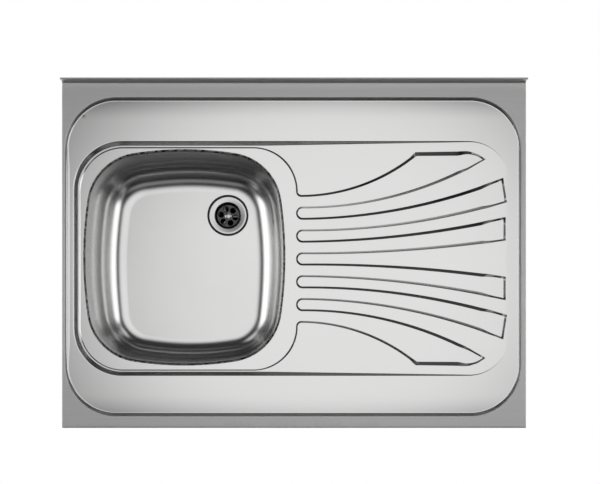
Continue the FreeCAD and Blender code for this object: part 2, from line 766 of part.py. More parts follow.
def timber_frame():
    """Six battens that carry the deck and stand on the cabinet."""
    pivots = {side: [(f"{sign}{PIVOT_X}", f"{side}{PIVOT_Y}") for sign in ("-", "")]
              for side in ("-", "")}
    left, right = f"-{INNER_HALF_WIDTH}", INNER_HALF_WIDTH
    inner_front, inner_rear = f"-{LONG_BATTEN_INNER_Y}", LONG_BATTEN_INNER_Y
    channel_rise = ("((sizes.tray_step + sizes.surround_step - sizes.channel_end_depth)"
                    " / (sizes.overall_width / 2 - sizes.channel_tip_x))")

    def under_channels(x):
        return (f"{SURROUND_LEVEL} - sizes.sheet_wall - sizes.seat_gap"
                f" + ({x} - sizes.channel_tip_x) * {channel_rise}")

    frame = [
        batten("front_batten", left, right, f"-{INNER_HALF_DEPTH}", inner_front,
               DECK_UNDERSIDE, pivots["-"]),
        batten("rear_batten", left, right, inner_rear, INNER_HALF_DEPTH,
               DECK_UNDERSIDE, pivots[""]),
        batten("left_batten", left, f"{left} + sizes.left_batten_width",
               inner_front, inner_rear, DECK_UNDERSIDE),
        batten("right_batten", f"{right} - sizes.right_batten_width", right,
               inner_front, inner_rear, DECK_UNDERSIDE),
    ]
    for name, x in (("cross_batten", "sizes.cross_batten_x"),
                    ("drainer_batten", "sizes.drainer_batten_x")):
        frame.append(batten(name, x, f"{x} + sizes.cross_batten_width",
                            inner_front, inner_rear, under_channels(x)))
    return frame


def bracket(name, x, y, turn):
    """An angle bracket that swivels on its screw in a batten's groove, down the cabinet's side."""
    body = new_body(name, x, y, "sizes.bracket_groove_depth", Rotation(Vector(0, 0, 1), turn))
    wall, reach = "sizes.bracket_wall", "sizes.bracket_reach"
    section = new_sketch(body, "section", "XZ_Plane")
    draw_polygon(section, [
        ("sizes.bracket_tail", f"-{wall}"), ("sizes.bracket_tail", "0"), (f"-{reach}", "0"),
        (f"-{reach}", "-sizes.bracket_drop"), (f"-{reach} + {wall}", "-sizes.bracket_drop"),
        (f"-{reach} + {wall}", f"-{wall}")])
    pad = add_pad(body, section, "sizes.bracket_width", both_ways=True)
    doc.recompute()
    inner_x, outer_x = number(f"-{reach} + {wall}"), number(f"-{reach}")
    for label, edge_x, edge_z, radius in (
            ("inner", inner_x, -size("bracket_wall"), "sizes.bracket_bend_radius"),
            ("outer", outer_x, 0, "sizes.bracket_bend_radius + sizes.bracket_wall")):
        base = body.Tip
        spot = Vector(edge_x, 0, edge_z)
        names = [f"Edge{k}" for k, edge in enumerate(base.Shape.Edges, start=1)
                 if (edge.CenterOfMass - spot).Length < size("same_place")]
        fillet = body.newObject("PartDesign::Fillet", f"{name}_{label}_bend")
        fillet.Base = (base, names)
        fillet.setExpression("Radius", radius)
        body.Tip = fillet
        doc.recompute()
    pivot = new_sketch(body, "pivot")
    draw_circle(pivot, "0", "0", "sizes.bracket_screw_radius + sizes.running_clearance")
    add_pocket(body, pivot)
    slots = new_sketch(body, "slots", "YZ_Plane")
    for sign in ("-", "+"):
        draw_slot(slots, "0", f"-sizes.bracket_slot_drop {sign} sizes.bracket_slot_spacing / 2",
                  "sizes.bracket_slot_length", "sizes.bracket_slot_radius")
    add_pocket(body, slots, both_ways=True)
    return body


def brackets_and_screws():
    """Four brackets near the corners, and the four wood screws they swivel on."""
    places = [
        ("front_left_bracket", f"-{PIVOT_X}", f"-{PIVOT_Y}", 0),
        ("front_right_bracket", PIVOT_X, f"-{PIVOT_Y}", 180),
        ("rear_left_bracket", f"-{PIVOT_X}", PIVOT_Y, 0),
        ("rear_right_bracket", PIVOT_X, PIVOT_Y, 180),
    ]
    brackets = [bracket(name, x, y, turn) for name, x, y, turn in places]
    upside_down = Rotation(Vector(1, 0, 0), 180)
    screws = [
        slotted_screw(f"{name}_screw", x, y, "sizes.bracket_groove_depth - sizes.bracket_wall",
                      "sizes.bracket_screw_radius", "sizes.bracket_screw_length",
                      "sizes.bracket_screw_head_radius", "sizes.bracket_screw_head_height",
                      "sizes.bracket_screw_slot", upside_down)
        for name, x, y, _ in places
    ]
    group = doc.addObject("Part::Compound", "bracket_screws")
    group.Label = "bracket_screws"
    group.Links = screws
    return brackets + [group]


def round_edges(shape, radius, level):
    """The names of the circular edges round the Z axis with a radius, at a level."""
    reach = size("same_place")
    return [f"Edge{k}" for k, edge in enumerate(shape.Edges, start=1)
            if isinstance(edge.Curve, Part.Circle) and abs(edge.Curve.Radius - radius) < reach
            and abs(edge.Curve.Center.z - level) < reach]


def ring(name, z, inner, outer, thickness):
    """A flat ring on the waste's axis."""
    return turned(name, "sizes.waste_x", "sizes.waste_y", z, [
        (inner, "0"), (outer, "0"), (outer, thickness), (inner, thickness)])


def strainer():
    """The strainer: a flange in the bowl's recess and a cup whose floor has six holes."""
    wall, cup = "sizes.strainer_wall", "sizes.strainer_cup_radius"
    floor = f"({wall} - sizes.strainer_cup_depth)"
    bore = "(sizes.waste_screw_radius + sizes.running_clearance)"
    body = turned("strainer_flange", "sizes.waste_x", "sizes.waste_y", STRAINER_BASE, [
        (bore, f"{floor} - {wall}"), (f"{cup} + {wall}", f"{floor} - {wall}"),
        (f"{cup} + {wall}", "0"), ("sizes.strainer_radius", "0"), ("sizes.strainer_radius", wall),
        (cup, wall), (cup, floor), (bore, floor)])
    doc.recompute()
    inside, outside = size("strainer_cup_radius"), number(f"{cup} + {wall}")
    tight, wide = "sizes.strainer_lip_radius", f"sizes.strainer_lip_radius + {wall}"
    for label, radius, level, bend in (
            ("lip_top", inside, size("strainer_wall"), wide), ("lip_underside", outside, 0, tight),
            ("cup_inside", inside, number(floor), tight),
            ("cup_outside", outside, number(f"{floor} - {wall}"), wide)):
        base = body.Tip
        fillet = body.newObject("PartDesign::Fillet", f"strainer_{label}_bend")
        fillet.Base = (base, round_edges(base.Shape, radius, level))
        fillet.setExpression("Radius", bend)
        body.Tip = fillet
        doc.recompute()
    sketch = new_sketch(body, "hole", "XY_Plane", floor)
    draw_circle(sketch, "sizes.strainer_hole_circle * cos(sizes.strainer_hole_angle)",
                "sizes.strainer_hole_circle * sin(sizes.strainer_hole_angle)",
                "sizes.strainer_hole_radius")
    hole = add_pocket(body, sketch)
    add_polar(body, hole, sketch, 6)
    return body


def waste_body():
    """The plastic waste: flange, cup, funnel and threaded outlet, with a spider for the screw."""
    body = new_body("waste_body", "sizes.waste_x", "sizes.waste_y", WASTE_TOP)
    cup, wall = "sizes.waste_cup_radius", "sizes.waste_wall"
    outlet = "sizes.outlet_radius"
    bore = f"({outlet} - sizes.outlet_wall)"
    funnel_low = "(-sizes.waste_cup_depth - sizes.waste_funnel_depth)"
    bottom = f"({funnel_low} - sizes.outlet_length)"
    section = new_sketch(body, "profile", "XZ_Plane")
    draw_polygon(section, [
        (cup, "0"), ("sizes.waste_flange_radius", "0"),
        ("sizes.waste_flange_radius", "-sizes.waste_flange_thickness"),
        (f"{cup} + {wall}", "-sizes.waste_flange_thickness"),
        (f"{cup} + {wall}", f"-sizes.waste_cup_depth - {wall} / 2"), (outlet, funnel_low),
        (outlet, bottom), (bore, bottom), (bore, funnel_low), (cup, "-sizes.waste_cup_depth")])
    add_revolution(body, section)
    arm_low = f"({funnel_low} + {wall})"
    arm = new_sketch(body, "arm", "XY_Plane", arm_low)
    draw_rectangle(arm, "0", f"{cup} - {wall}", "-sizes.spider_arm_width / 2",
                   "sizes.spider_arm_width / 2")
    arm_pad = add_pad(body, arm, "sizes.spider_arm_height")
    doc.recompute()
    add_polar(body, arm_pad, arm, 3)
    boss_top = (f"(sizes.body_seal_thickness + sizes.sheet_wall + sizes.top_seal_thickness"
                f" - sizes.strainer_cup_depth - sizes.seat_gap)")
    boss = new_sketch(body, "boss", "XY_Plane", f"{boss_top} - sizes.spider_boss_height")
    draw_circle(boss, "0", "0", "sizes.spider_boss_radius")
    add_pad(body, boss, "sizes.spider_boss_height")
    through = new_sketch(body, "screw_way", "XY_Plane", f"{boss_top} + sizes.cut_overrun")
    draw_circle(through, "0", "0", "sizes.waste_screw_radius + sizes.seat_gap")
    add_pocket(body, through)
    seat = new_sketch(body, "insert_seat", "XY_Plane", f"{boss_top} - sizes.spider_boss_height")
    draw_hexagon(seat, "sizes.insert_flats")
    add_pocket(body, seat, "sizes.insert_height", upwards=True)

    insert = new_body("brass_insert", "sizes.waste_x", "sizes.waste_y",
                      f"{WASTE_TOP} + {boss_top} - sizes.spider_boss_height")
    block = new_sketch(insert, "hexagon")
    draw_hexagon(block, "sizes.insert_flats")
    draw_circle(block, "0", "0", "sizes.waste_screw_radius + sizes.running_clearance")
    add_pad(insert, block, "sizes.insert_height")
    return [body, insert]


def waste_set():
    """Everything on the waste's axis, from the screw's head down to the outlet."""
    screw = slotted_screw("strainer_screw", "sizes.waste_x", "sizes.waste_y", STRAINER_PLATE_TOP,
                          "sizes.waste_screw_radius", "sizes.waste_screw_length",
                          "sizes.waste_screw_head_radius", "sizes.waste_screw_head_height",
                          "sizes.waste_screw_slot")
    top_seal = ring("flange_seal", RECESS_FLOOR, "sizes.waste_hole_radius",
                    "sizes.strainer_radius - sizes.top_seal_inset", "sizes.top_seal_thickness")
    body_seal = ring("body_seal", WASTE_TOP, "sizes.waste_cup_radius", "sizes.body_seal_radius",
                     "sizes.body_seal_thickness")
    return [strainer(), screw, top_seal, body_seal] + waste_body()


def earth_terminal():
    """The earth lug welded under the deck, with its screw and nut."""
    x, z = "sizes.earth_x", DECK_UNDERSIDE
    y = "(sizes.overall_depth / 2 - sizes.earth_rear_strip)"
    wall = "sizes.earth_wall"
    lug = new_body("earth_lug", x, y, z)
    section = new_sketch(lug, "section", "XZ_Plane")
    draw_polygon(section, [
        ("0", "0"), ("sizes.earth_foot", "0"), ("sizes.earth_foot", f"-{wall}"),
        (wall, f"-{wall}"), (wall, "-sizes.earth_drop"), ("0", "-sizes.earth_drop")])
    add_pad(lug, section, "sizes.earth_width", both_ways=True)
    hole = new_sketch(lug, "hole", "YZ_Plane")
    draw_circle(hole, "0", "-sizes.earth_hole_drop",
                "sizes.earth_screw_radius + sizes.running_clearance")
    add_pocket(lug, hole, both_ways=True)

    sideways = Rotation(Vector(0, 1, 0), -90)
    axis_z = f"{z} - sizes.earth_hole_drop"
    screw = slotted_screw("earth_screw", x, y, axis_z, "sizes.earth_screw_radius",
                          "sizes.earth_screw_length", "sizes.earth_head_radius",
                          "sizes.earth_head_height", "sizes.earth_screw_slot", sideways)
    nut = new_body("earth_nut", f"{x} + {wall} + sizes.earth_nut_height", y, axis_z, sideways)
    block = new_sketch(nut, "hexagon")
    draw_hexagon(block, "sizes.earth_nut_flats")
    draw_circle(block, "0", "0", "sizes.earth_screw_radius + sizes.running_clearance")
    add_pad(nut, block, "sizes.earth_nut_height")
    return [lug, screw, nut]


def export(pieces):
    """Recomputes, checks every object and every sub-part, and writes one STEP file for each."""
    doc.recompute()
    for item in doc.Objects:
        if "Invalid" in item.State or "Error" in item.State:
            raise RuntimeError(f"{item.Name} did not compute: {item.State}")
    os.makedirs("parts", exist_ok=True)
    for piece in pieces:
        if piece.Shape.isNull() or not piece.Shape.isValid() or not piece.Shape.Solids:
            raise RuntimeError(f"{piece.Label} has no valid solid")
        piece.Shape.exportStep(f"parts/{piece.Label}.step")
        print(piece.Label, len(piece.Shape.Solids), round(piece.Shape.Volume))


pieces = [add_shape("deck_sheet", pressed_deck()), add_shape("bowl", pressed_bowl()), bowl_pad()]
pieces += timber_frame()
pieces += brackets_and_screws()
pieces += waste_set()
pieces += earth_terminal()
export(pieces)
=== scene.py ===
"""A lay-on kitchen sink of satin stainless steel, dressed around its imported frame.

The pressed deck, the drawn bowl, the strainer and the waste are surfaces worked out here in
millimetres. The timber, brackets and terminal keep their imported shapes, with softened edges.
"""

import enum
import logging
import math
from dataclasses import dataclass, field
from typing import Callable, Sequence

import bmesh
import bpy
import numpy as np
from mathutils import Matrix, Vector
from mathutils.geometry import delaunay_2d_cdt


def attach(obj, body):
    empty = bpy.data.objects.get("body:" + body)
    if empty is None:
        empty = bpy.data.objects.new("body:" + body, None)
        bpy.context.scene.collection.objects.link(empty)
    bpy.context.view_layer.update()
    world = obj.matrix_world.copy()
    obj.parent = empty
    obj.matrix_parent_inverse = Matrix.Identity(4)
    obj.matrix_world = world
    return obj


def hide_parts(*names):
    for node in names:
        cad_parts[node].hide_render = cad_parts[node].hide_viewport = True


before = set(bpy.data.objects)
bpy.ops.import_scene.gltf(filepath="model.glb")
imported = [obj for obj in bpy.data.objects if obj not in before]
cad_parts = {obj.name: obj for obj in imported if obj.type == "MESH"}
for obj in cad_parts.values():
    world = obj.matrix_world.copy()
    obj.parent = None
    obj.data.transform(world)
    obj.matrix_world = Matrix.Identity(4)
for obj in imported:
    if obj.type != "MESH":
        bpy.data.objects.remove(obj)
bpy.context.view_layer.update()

log = logging.getLogger("kitchen_sink")

# Metres in a millimetre. All other lengths are millimetres, apart from the studio's.
MM = 0.001
# A length below this is none. Points that agree to so many decimals are welded.
TINY = 0.001
WELD_DECIMALS = 4
# Thickness of the pressed and drawn sheet.
SHEET = 0.8
# The axis of the waste in plan.
WASTE = (-123.4, 84.4)
# Points round a turned form.
TURNED = 96
# The bends of a shallow step take at most this share of its depth.
BEND_LIMIT = 0.98
# Pairs of a point and a ring's side that are worked out at once.
CHUNK = 2_000_000
# Inner points keep this share of their spacing from a ring, and points nearer than this are one.
CLEAR_SHARE = 0.3
PLAN_TOLERANCE = 1e-6
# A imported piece's points are merged within this length, its faces below this angle in degrees are
# joined, and its edges above that one are bevelled.
MERGED = 0.002
FLAT_ANGLE = 0.5
SHARP_ANGLE = 32
BLACK = (0.0, 0.0, 0.0, 1.0)
WHITE = (1.0, 1.0, 1.0, 1.0)
Rule = Callable[[np.ndarray], np.ndarray]


class Slot(enum.Enum):
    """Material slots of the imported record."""

    STAINLESS = "stainless"
    POLISHED = "polished_steel"
    PAD = "damping_pad"
    TIMBER = "timber"
    ZINC = "zinc_steel"
    RUBBER = "seal_rubber"
    PLASTIC = "waste_plastic"
    BRASS = "brass"


class Grain(enum.Enum):
    """How a batten's grain is stretched, by the axis that it follows."""

    ALONG_X = (1.5, 28.0, 28.0)
    ALONG_Y = (28.0, 1.5, 28.0)


@dataclass(frozen=True)
class Arc:
    """One arc of an outline.

    Args:
        x: X of its centre.
        y: Y of its centre.
        radius: Its radius. With 0 it is a sharp corner.
        first: Its first angle in degrees.
        last: Its last angle in degrees.
        outward: 1 if the outline's outside lies away from the centre, or -1 towards it.
    """

    x: float
    y: float
    radius: float
    first: float
    last: float
    outward: int = 1

    def at(self, angles: np.ndarray) -> np.ndarray:
        """Points of the arc: centre plus radius times the unit vector at each angle in degrees."""
        turned = np.radians(angles)
        return np.stack([self.x + self.radius * np.cos(turned), self.y + self.radius * np.sin(turned)], 1)

    def mirrored(self, axis_y: float) -> "Arc":
        """The arc mirrored across the line y = axis_y and run the other way."""
        return Arc(self.x, 2 * axis_y - self.y, self.radius, -self.last, -self.first, self.outward)

    def moved(self, rise: float) -> "Arc":
        """The arc moved along Y."""
        return Arc(self.x, self.y + rise, self.radius, self.first, self.last, self.outward)


@dataclass(frozen=True)
class Outline:
    """Tangent arcs, joined by straight sides where they don't meet."""

    arcs: tuple[Arc, ...]
    closed: bool = True

    def sample(self, step: float, turn: float = 6.0) -> tuple[np.ndarray, np.ndarray]:
        """Points along the outline and the outward normal at each.

        An arc gives evenly spaced angles, and a straight side even shares of the way between
        two arcs, with the normal of the arc before it. A sharp corner gives one point, whose
        normal is as long as a mitre: 1 over the cosine of half its turn.

        Args:
            step: Longest distance between two points.
            turn: Largest angle between two points of an arc, in degrees.

        Returns:
            Two arrays of shape (points, 2).
        """
        points, normals = [], []
        following = self.arcs[1:] + self.arcs[:1] if self.closed else self.arcs[1:]
        for one, after in zip(self.arcs, following):
            span = abs(one.last - one.first)
            count = max(math.ceil(math.radians(span) * one.radius / step), math.ceil(span / turn))
            angles = np.linspace(one.first, one.last, count + 1)
            mitre = one.radius == 0
            if mitre:
                angles = np.array([(one.first + one.last) / 2])
            unit = np.stack([np.cos(np.radians(angles)), np.sin(np.radians(angles))], 1) * one.outward
            run = one.at(angles)
            gap = after.at(np.array([after.first])) - run[-1]
            length = float(np.linalg.norm(gap))
            met = length < TINY and not mitre
            points.append(run[:-1] if met else run)
            normals.append(unit[:-1] if met else unit / math.cos(math.radians(span / 2) * mitre))
            if length > TINY:
                end = math.radians(one.last)
                side = np.array([[math.cos(end), math.sin(end)]]) * one.outward
                shares = np.linspace(0, 1, math.ceil(length / step) + 1)[1:-1, None]
                points.append(run[-1] + shares * gap)
                normals.append(np.repeat(side, len(shares), 0))
        if not self.closed:
            end = self.arcs[-1]
            angle = math.radians(end.last)
            points.append(end.at(np.array([end.last])))
            normals.append(np.array([[math.cos(angle), math.sin(angle)]]) * end.outward)
        return np.concatenate(points), np.concatenate(normals)


@dataclass(frozen=True)
class RoundedRectangle:
    """A rectangle with one radius on its left and one on its right corners."""

    left: float
    right: float
    front: float
    rear: float
    left_radius: float
    right_radius: float

    def outline(self) -> Outline:
        """Its outline.

        Returns:
            Its four corner arcs.
        """
        left, right = self.left_radius, self.right_radius
        return Outline((
            Arc(self.left + left, self.rear - left, left, 180, 90),
            Arc(self.right - right, self.rear - right, right, 90, 0),
            Arc(self.right - right, self.front + right, right, 0, -90),
            Arc(self.left + left, self.front + left, left, -90, -180),
        ))

    def inset(self, points: np.ndarray) -> np.ndarray:
        """How far points lie inside: the left radius less the distance to the inner rectangle.

        Args:
            points: Points, of which the first two coordinates count.

        Returns:
            A distance for each.
        """
        middle = np.array([self.left + self.right, self.front + self.rear]) / 2
        half = np.array([self.right - self.left, self.rear - self.front]) / 2 - self.left_radius
        away = np.abs(points[:, :2] - middle) - half
        outside = np.linalg.norm(np.maximum(away, 0), axis=1)
        return self.left_radius - outside - np.minimum(away.max(1), 0)


def circle(x: float, y: float, radius: float, count: int) -> tuple[np.ndarray, np.ndarray]:
    """Points of a circle, and their outward normals: centre plus radius times unit vectors.

    Args:
        x: X of its centre.
        y: Y of its centre.
        radius: Its radius.
        count: How many points.

    Returns:
        Two arrays of shape (count, 2).
    """
    angles = np.linspace(0, 2 * math.pi, count, endpoint=False)
    unit = np.stack([np.cos(angles), np.sin(angles)], 1)
    return np.array([x, y]) + radius * unit, unit


def bearing(start: Sequence[float], end: Sequence[float]) -> float:
    """The angle in degrees of the way from one point to another."""
    return math.degrees(math.atan2(end[1] - start[1], end[0] - start[0]))


def soft_ramp(run: np.ndarray, blend: float) -> np.ndarray:
    """0 below zero and run above it, joined by the parabola (run + blend)^2 / (4 blend)."""
    bent = (np.clip(run, -blend, blend) + blend) ** 2 / (4 * blend)
    return bent + np.maximum(run - blend, 0)


@dataclass(frozen=True)
class StepProfile:
    """The section of a pressed step: a convex bend, a straight wall and a concave bend.

    Args:
        run: Plan width of the wall over a drop of rise.
        rise: The drop that goes with run.
        upper: Radius of the convex bend.
        lower: Radius of the concave bend.
        pitch: Longest distance between two points along the step.
        guard: Distance from the bends of a ring on each flat.
        counts: Segments of the two bends.
    """

    run: float
    rise: float
    upper: float
    lower: float
    pitch: float
    guard: float
    counts: tuple[int, int] = (6, 6)

    def section(self, depth: np.ndarray, spread: np.ndarray,
                bend: np.ndarray) -> tuple[np.ndarray, np.ndarray, np.ndarray]:
        """The section at steps of several depths.

        With the wall's angle a, a bend of radius r drops r(1 - cos a) over r sin a, and the
        straight wall makes up the rest of the depth. Shallow steps get smaller bends.

        Args:
            depth: Depth of the step at each point of an outline.
            spread: How many times wider the wall's run is there.
            bend: How many times larger the concave bend is there.

        Returns:
            Where the convex bend starts, outwards from the sharp upper edge, and two arrays of
            shape (rings, points): the way inwards from there, and the drop.
        """
        angle = np.arctan2(self.rise, self.run * spread)
        fall = 1 - np.cos(angle)
        share = np.minimum(1, BEND_LIMIT * depth / ((self.upper + self.lower * bend) * fall))
        upper, lower = self.upper * share, self.lower * bend * share
        wall = (depth - (upper + lower) * fall) / np.sin(angle)
        turn = np.linspace(0, 1, self.counts[0] + 1)[:, None] * angle
        back = np.linspace(1, 0, self.counts[1] + 1)[:, None] * angle
        foot = upper * np.sin(angle) + wall * np.cos(angle)
        inward = np.concatenate([upper * np.sin(turn), foot + lower * (np.sin(angle) - np.sin(back))])
        drop = np.concatenate([upper * (1 - np.cos(turn)), depth - lower * (1 - np.cos(back))])
        return upper * np.tan(angle / 2), inward, drop


def inside(points: np.ndarray, ring: np.ndarray) -> np.ndarray:
    """Which points lie inside a closed ring: those with an odd number of its sides to their right.

    Args:
        points: Points of shape (n, 2).
        ring: The ring's corners, of shape (m, 2).

    Returns:
        True for each point inside, of shape (n).
    """
    start, end = ring, np.roll(ring, -1, 0)
    rise = np.where(end[:, 1] == start[:, 1], 1.0, end[:, 1] - start[:, 1])
    found = np.zeros(len(points), bool)
    for chunk in np.array_split(np.arange(len(points)), 1 + len(points) * len(ring) // CHUNK):
        x, y = points[chunk, :1], points[chunk, 1:]
        spans = (start[:, 1] > y) != (end[:, 1] > y)
        crossing = start[:, 0] + (y - start[:, 1]) * (end[:, 0] - start[:, 0]) / rise
        found[chunk] = (spans & (x < crossing)).sum(1) % 2 == 1
    return found


def even(low: float, high: float, spacing: float) -> np.ndarray:
    """Evenly spaced places from low to high, no further apart than spacing."""
    return np.linspace(low, high, math.ceil((high - low) / spacing) + 1)


def ramp(value: np.ndarray, low: float, high: float) -> np.ndarray:
    """(value - low) / (high - low), kept between 0 and 1. It falls where low is above high."""
    return np.clip((value - low) / (high - low), 0, 1)


def level(height: float) -> Rule:
    """A rule for a flat at one height."""
    return lambda plan: np.full(len(plan), float(height))


def raised(height: Rule) -> Rule:
    """Turns a height rule into one that lifts points in plan to that height."""
    return lambda plan: np.column_stack([plan, height(plan)])


def flat(height: float) -> Rule:
    """A rule that lifts points in plan to one height."""
    return raised(level(height))


def upright(x: float) -> Rule:
    """A rule that stands points of Y and Z up in the plane at x."""
    return lambda plan: np.column_stack([np.full(len(plan), float(x)), plan])


def linked(name: str, data: bpy.types.ID) -> bpy.types.Object:
    """An object of that mesh or camera, linked to the scene at the origin.

    Args:
        name: Its name.
        data: The mesh or camera.

    Returns:
        The object.
    """
    made = bpy.data.objects.new(name, data)
    bpy.context.scene.collection.objects.link(made)
    return made


@dataclass
class Skin:
    """A mesh in the making: points and faces in millimetres, welded where they meet."""

    name: str
    points: list[np.ndarray] = field(default_factory=list)
    faces: list[np.ndarray] = field(default_factory=list)
    count: int = 0

    def add(self, points: np.ndarray, faces: np.ndarray) -> None:
        """Adds points and the faces between them.

        Args:
            points: Points of shape (n, 3).
            faces: Their numbers, one row a face.
        """
        self.points.append(points)
        self.faces.append(faces + self.count)
        self.count += len(points)

    def grid(self, rows: np.ndarray, closed: bool = True) -> None:
        """Adds a grid of points with a quad between each four of them.

        Args:
            rows: Points of shape (rows, columns, 3).
            closed: Whether the last column joins the first.
        """
        high, wide = rows.shape[:2]
        index = np.arange(high * wide).reshape(high, wide)
        here = index if closed else index[:, :-1]
        beside = np.roll(index, -1, 1) if closed else index[:, 1:]
        quads = np.stack([here[:-1], beside[:-1], beside[1:], here[1:]], -1).reshape(-1, 4)
        self.add(rows.reshape(-1, 3), quads)

    def fill(self, outer: np.ndarray, holes: Sequence[np.ndarray], lift: Rule,
             grid: tuple[np.ndarray, np.ndarray] | None = None) -> None:
        """Fills the plan between rings with Delaunay triangles.

        Args:
            outer: The outer ring, of which the first two coordinates count.
            holes: The inner rings.
            lift: Turns points of shape (n, 2) into points of shape (n, 3).
            grid: Places along both axes of a grid of inner points. Without it there are none.
        """
        rings = [np.asarray(ring)[:, :2] for ring in (outer, *holes)]
        edge = np.concatenate(rings)
        plan = edge if grid is None else np.concatenate([edge, self._inner(rings, grid)])
        ends = np.cumsum([len(ring) for ring in rings])
        index = np.arange(ends[-1])
        after = index + 1
        after[ends - 1] = np.concatenate([[0], ends[:-1]])
        made = delaunay_2d_cdt([Vector(p) for p in plan.tolist()], np.stack([index, after], 1).tolist(),
                               [], 0, PLAN_TOLERANCE)
        if len(made[0]) != len(plan):
            raise ValueError(f"{self.name}: rings cross near {[tuple(p) for p in made[0][len(plan):]]}")
        triangles = np.array(made[2])
        self.add(lift(plan), triangles[self._between(plan[triangles].mean(1), rings)])

    def _inner(self, rings: Sequence[np.ndarray], grid: tuple[np.ndarray, np.ndarray]) -> np.ndarray:
        """The grid's points between the rings and clear of them.

        Args:
            rings: The outer ring, then the holes.
            grid: Places along both axes.

        Returns:
            Points of shape (n, 2).
        """
        across, along = np.meshgrid(*grid)
        inner = np.stack([across.ravel(), along.ravel()], 1)
        inner = inner[self._between(inner, rings)]
        edge = np.concatenate(rings)
        reach = CLEAR_SHARE * min(np.diff(places).max() for places in grid)
        clear = [np.linalg.norm(part[:, None] - edge[None], axis=2).min(1) > reach
                 for part in np.array_split(inner, 1 + len(inner) * len(edge) // CHUNK) if len(part)]
        return inner[np.concatenate(clear)] if clear else inner

    @staticmethod
    def _between(points: np.ndarray, rings: Sequence[np.ndarray]) -> np.ndarray:
        """Which points lie inside the first ring and outside the others.

        Args:
            points: Points of shape (n, 2).
            rings: The rings.

        Returns:
            True for each such point.
        """
        keep = inside(points, rings[0])
        for ring in rings[1:]:
            keep &= ~inside(points, ring)
        return keep

    def build(self, facing: Sequence[float] | None = None,
              marks: dict[str, Rule] | None = None) -> bpy.types.Object:
        """Welds the points, makes the object and turns its faces one way.

        Args:
            facing: A direction that the skin looks towards as a whole, or None for a closed skin.
            marks: Named point attributes, each a rule that turns points into numbers.

        Returns:
            The object in metres, linked to the scene.
        """
        keys, index = np.unique(np.round(np.concatenate(self.points), WELD_DECIMALS), axis=0,
                                return_inverse=True)
        faces = []
        for block in self.faces:
            welded = index.reshape(-1)[block]
            shut = welded == np.roll(welded, -1, 1)
            faces += welded[~shut.any(1)].tolist()
            if welded.shape[1] == 4:
                single = shut.sum(1) == 1
                kept = (shut[single].argmax(1)[:, None] + np.arange(1, 4)) % 4
                faces += np.take_along_axis(welded[single], kept, 1).tolist()
        mesh = bpy.data.meshes.new(self.name)
        mesh.from_pydata((keys * MM).tolist(), [], faces)
        mesh.validate()
        for name, rule in (marks or {}).items():
            layer = mesh.attributes.new(name, "FLOAT", "POINT")
            layer.data.foreach_set("value", rule(keys).astype(np.float32))
        made = linked(self.name, mesh)
        work = bmesh.new()
        work.from_mesh(mesh)
        bmesh.ops.recalc_face_normals(work, faces=work.faces)
        if facing is not None:
            total = sum((face.normal * face.calc_area() for face in work.faces), Vector())
            if total.dot(Vector(facing)) < 0:
                bmesh.ops.reverse_faces(work, faces=work.faces)
        work.to_mesh(mesh)
        work.free()
        mesh.shade_smooth()
        return made


def press_step(skin: Skin, outline: Outline, profile: StepProfile, brim: Rule, high: Rule, low: Rule,
               spread: Rule = level(1), bend: Rule = level(1)) -> tuple[np.ndarray, np.ndarray]:
    """Adds the band of a pressed step along an outline.

    A ring lies at the outline plus the brim less the section's way inwards, along the normals.
    Its height goes from high to low by the section's share of the drop. A guard ring on each
    flat keeps the flats' shading clear of the bends.

    Args:
        skin: The skin that gets the band.
        outline: The step's foot outline.
        profile: The step's section.
        brim: How far the sharp upper edge lies outside the outline, from points in plan.
        high: Height of the flat above, from points in plan.
        low: Height of the flat below.
        spread: How many times wider the wall's run is, from points in plan.
        bend: How many times larger the concave bend is, from points in plan.

    Returns:
        The outermost and the innermost ring.
    """
    foot, normals = outline.sample(profile.pitch)
    reach, guard = brim(foot), profile.guard
    edge = foot + reach[:, None] * normals
    depth = np.maximum(high(edge) - low(edge), 0)
    start, inward, drop = profile.section(depth, spread(foot), bend(foot))
    share = np.divide(drop, depth, out=np.zeros_like(drop), where=depth > 0)
    offsets = reach + start - inward
    offsets = np.concatenate([offsets[:1] + guard, offsets, offsets[-1:] - guard])
    share = np.concatenate([0 * share[:1], share, 0 * share[:1] + 1])
    plan = foot + offsets[..., None] * normals
    spots = plan.reshape(-1, 2)
    top = high(spots).reshape(share.shape)
    bottom = low(spots).reshape(share.shape)
    rows = np.concatenate([plan, (top - share * (top - bottom))[..., None]], -1)
    skin.grid(rows)
    return rows[0], rows[-1]


def rounded_path(corners: Sequence[Sequence[float]], radii: Sequence[float],
                 turn: float = 15.0) -> np.ndarray:
    """A closed path of straight sides whose corners are rounded.

    A corner's arc touches its two sides at radius / tan(half the corner's angle) from the corner.

    Args:
        corners: The corners, in order.
        radii: The radius at each.
        turn: Largest angle of one segment, in degrees.

    Returns:
        An array of shape (points, 2).
    """
    spots = np.asarray(corners, float)
    path = []
    for k, (spot, radius) in enumerate(zip(spots, radii)):
        back, ahead = spots[k - 1] - spot, spots[(k + 1) % len(spots)] - spot
        back, ahead = back / np.linalg.norm(back), ahead / np.linalg.norm(ahead)
        half = math.acos(max(-1.0, min(1.0, float(back @ ahead)))) / 2
        middle = (back + ahead) / np.linalg.norm(back + ahead)
        center = spot + middle * radius / math.sin(half)
        one = (spot + back * radius / math.tan(half) - center) / radius
        other = (spot + ahead * radius / math.tan(half) - center) / radius
        span = math.pi - 2 * half
        shares = np.linspace(0, 1, max(2, math.ceil(math.degrees(span) / turn)) + 1)[:, None]
        turned = np.sin((1 - shares) * span) * one + np.sin(shares * span) * other
        path.append(center + radius * turned / math.sin(span))
    return np.concatenate(path)


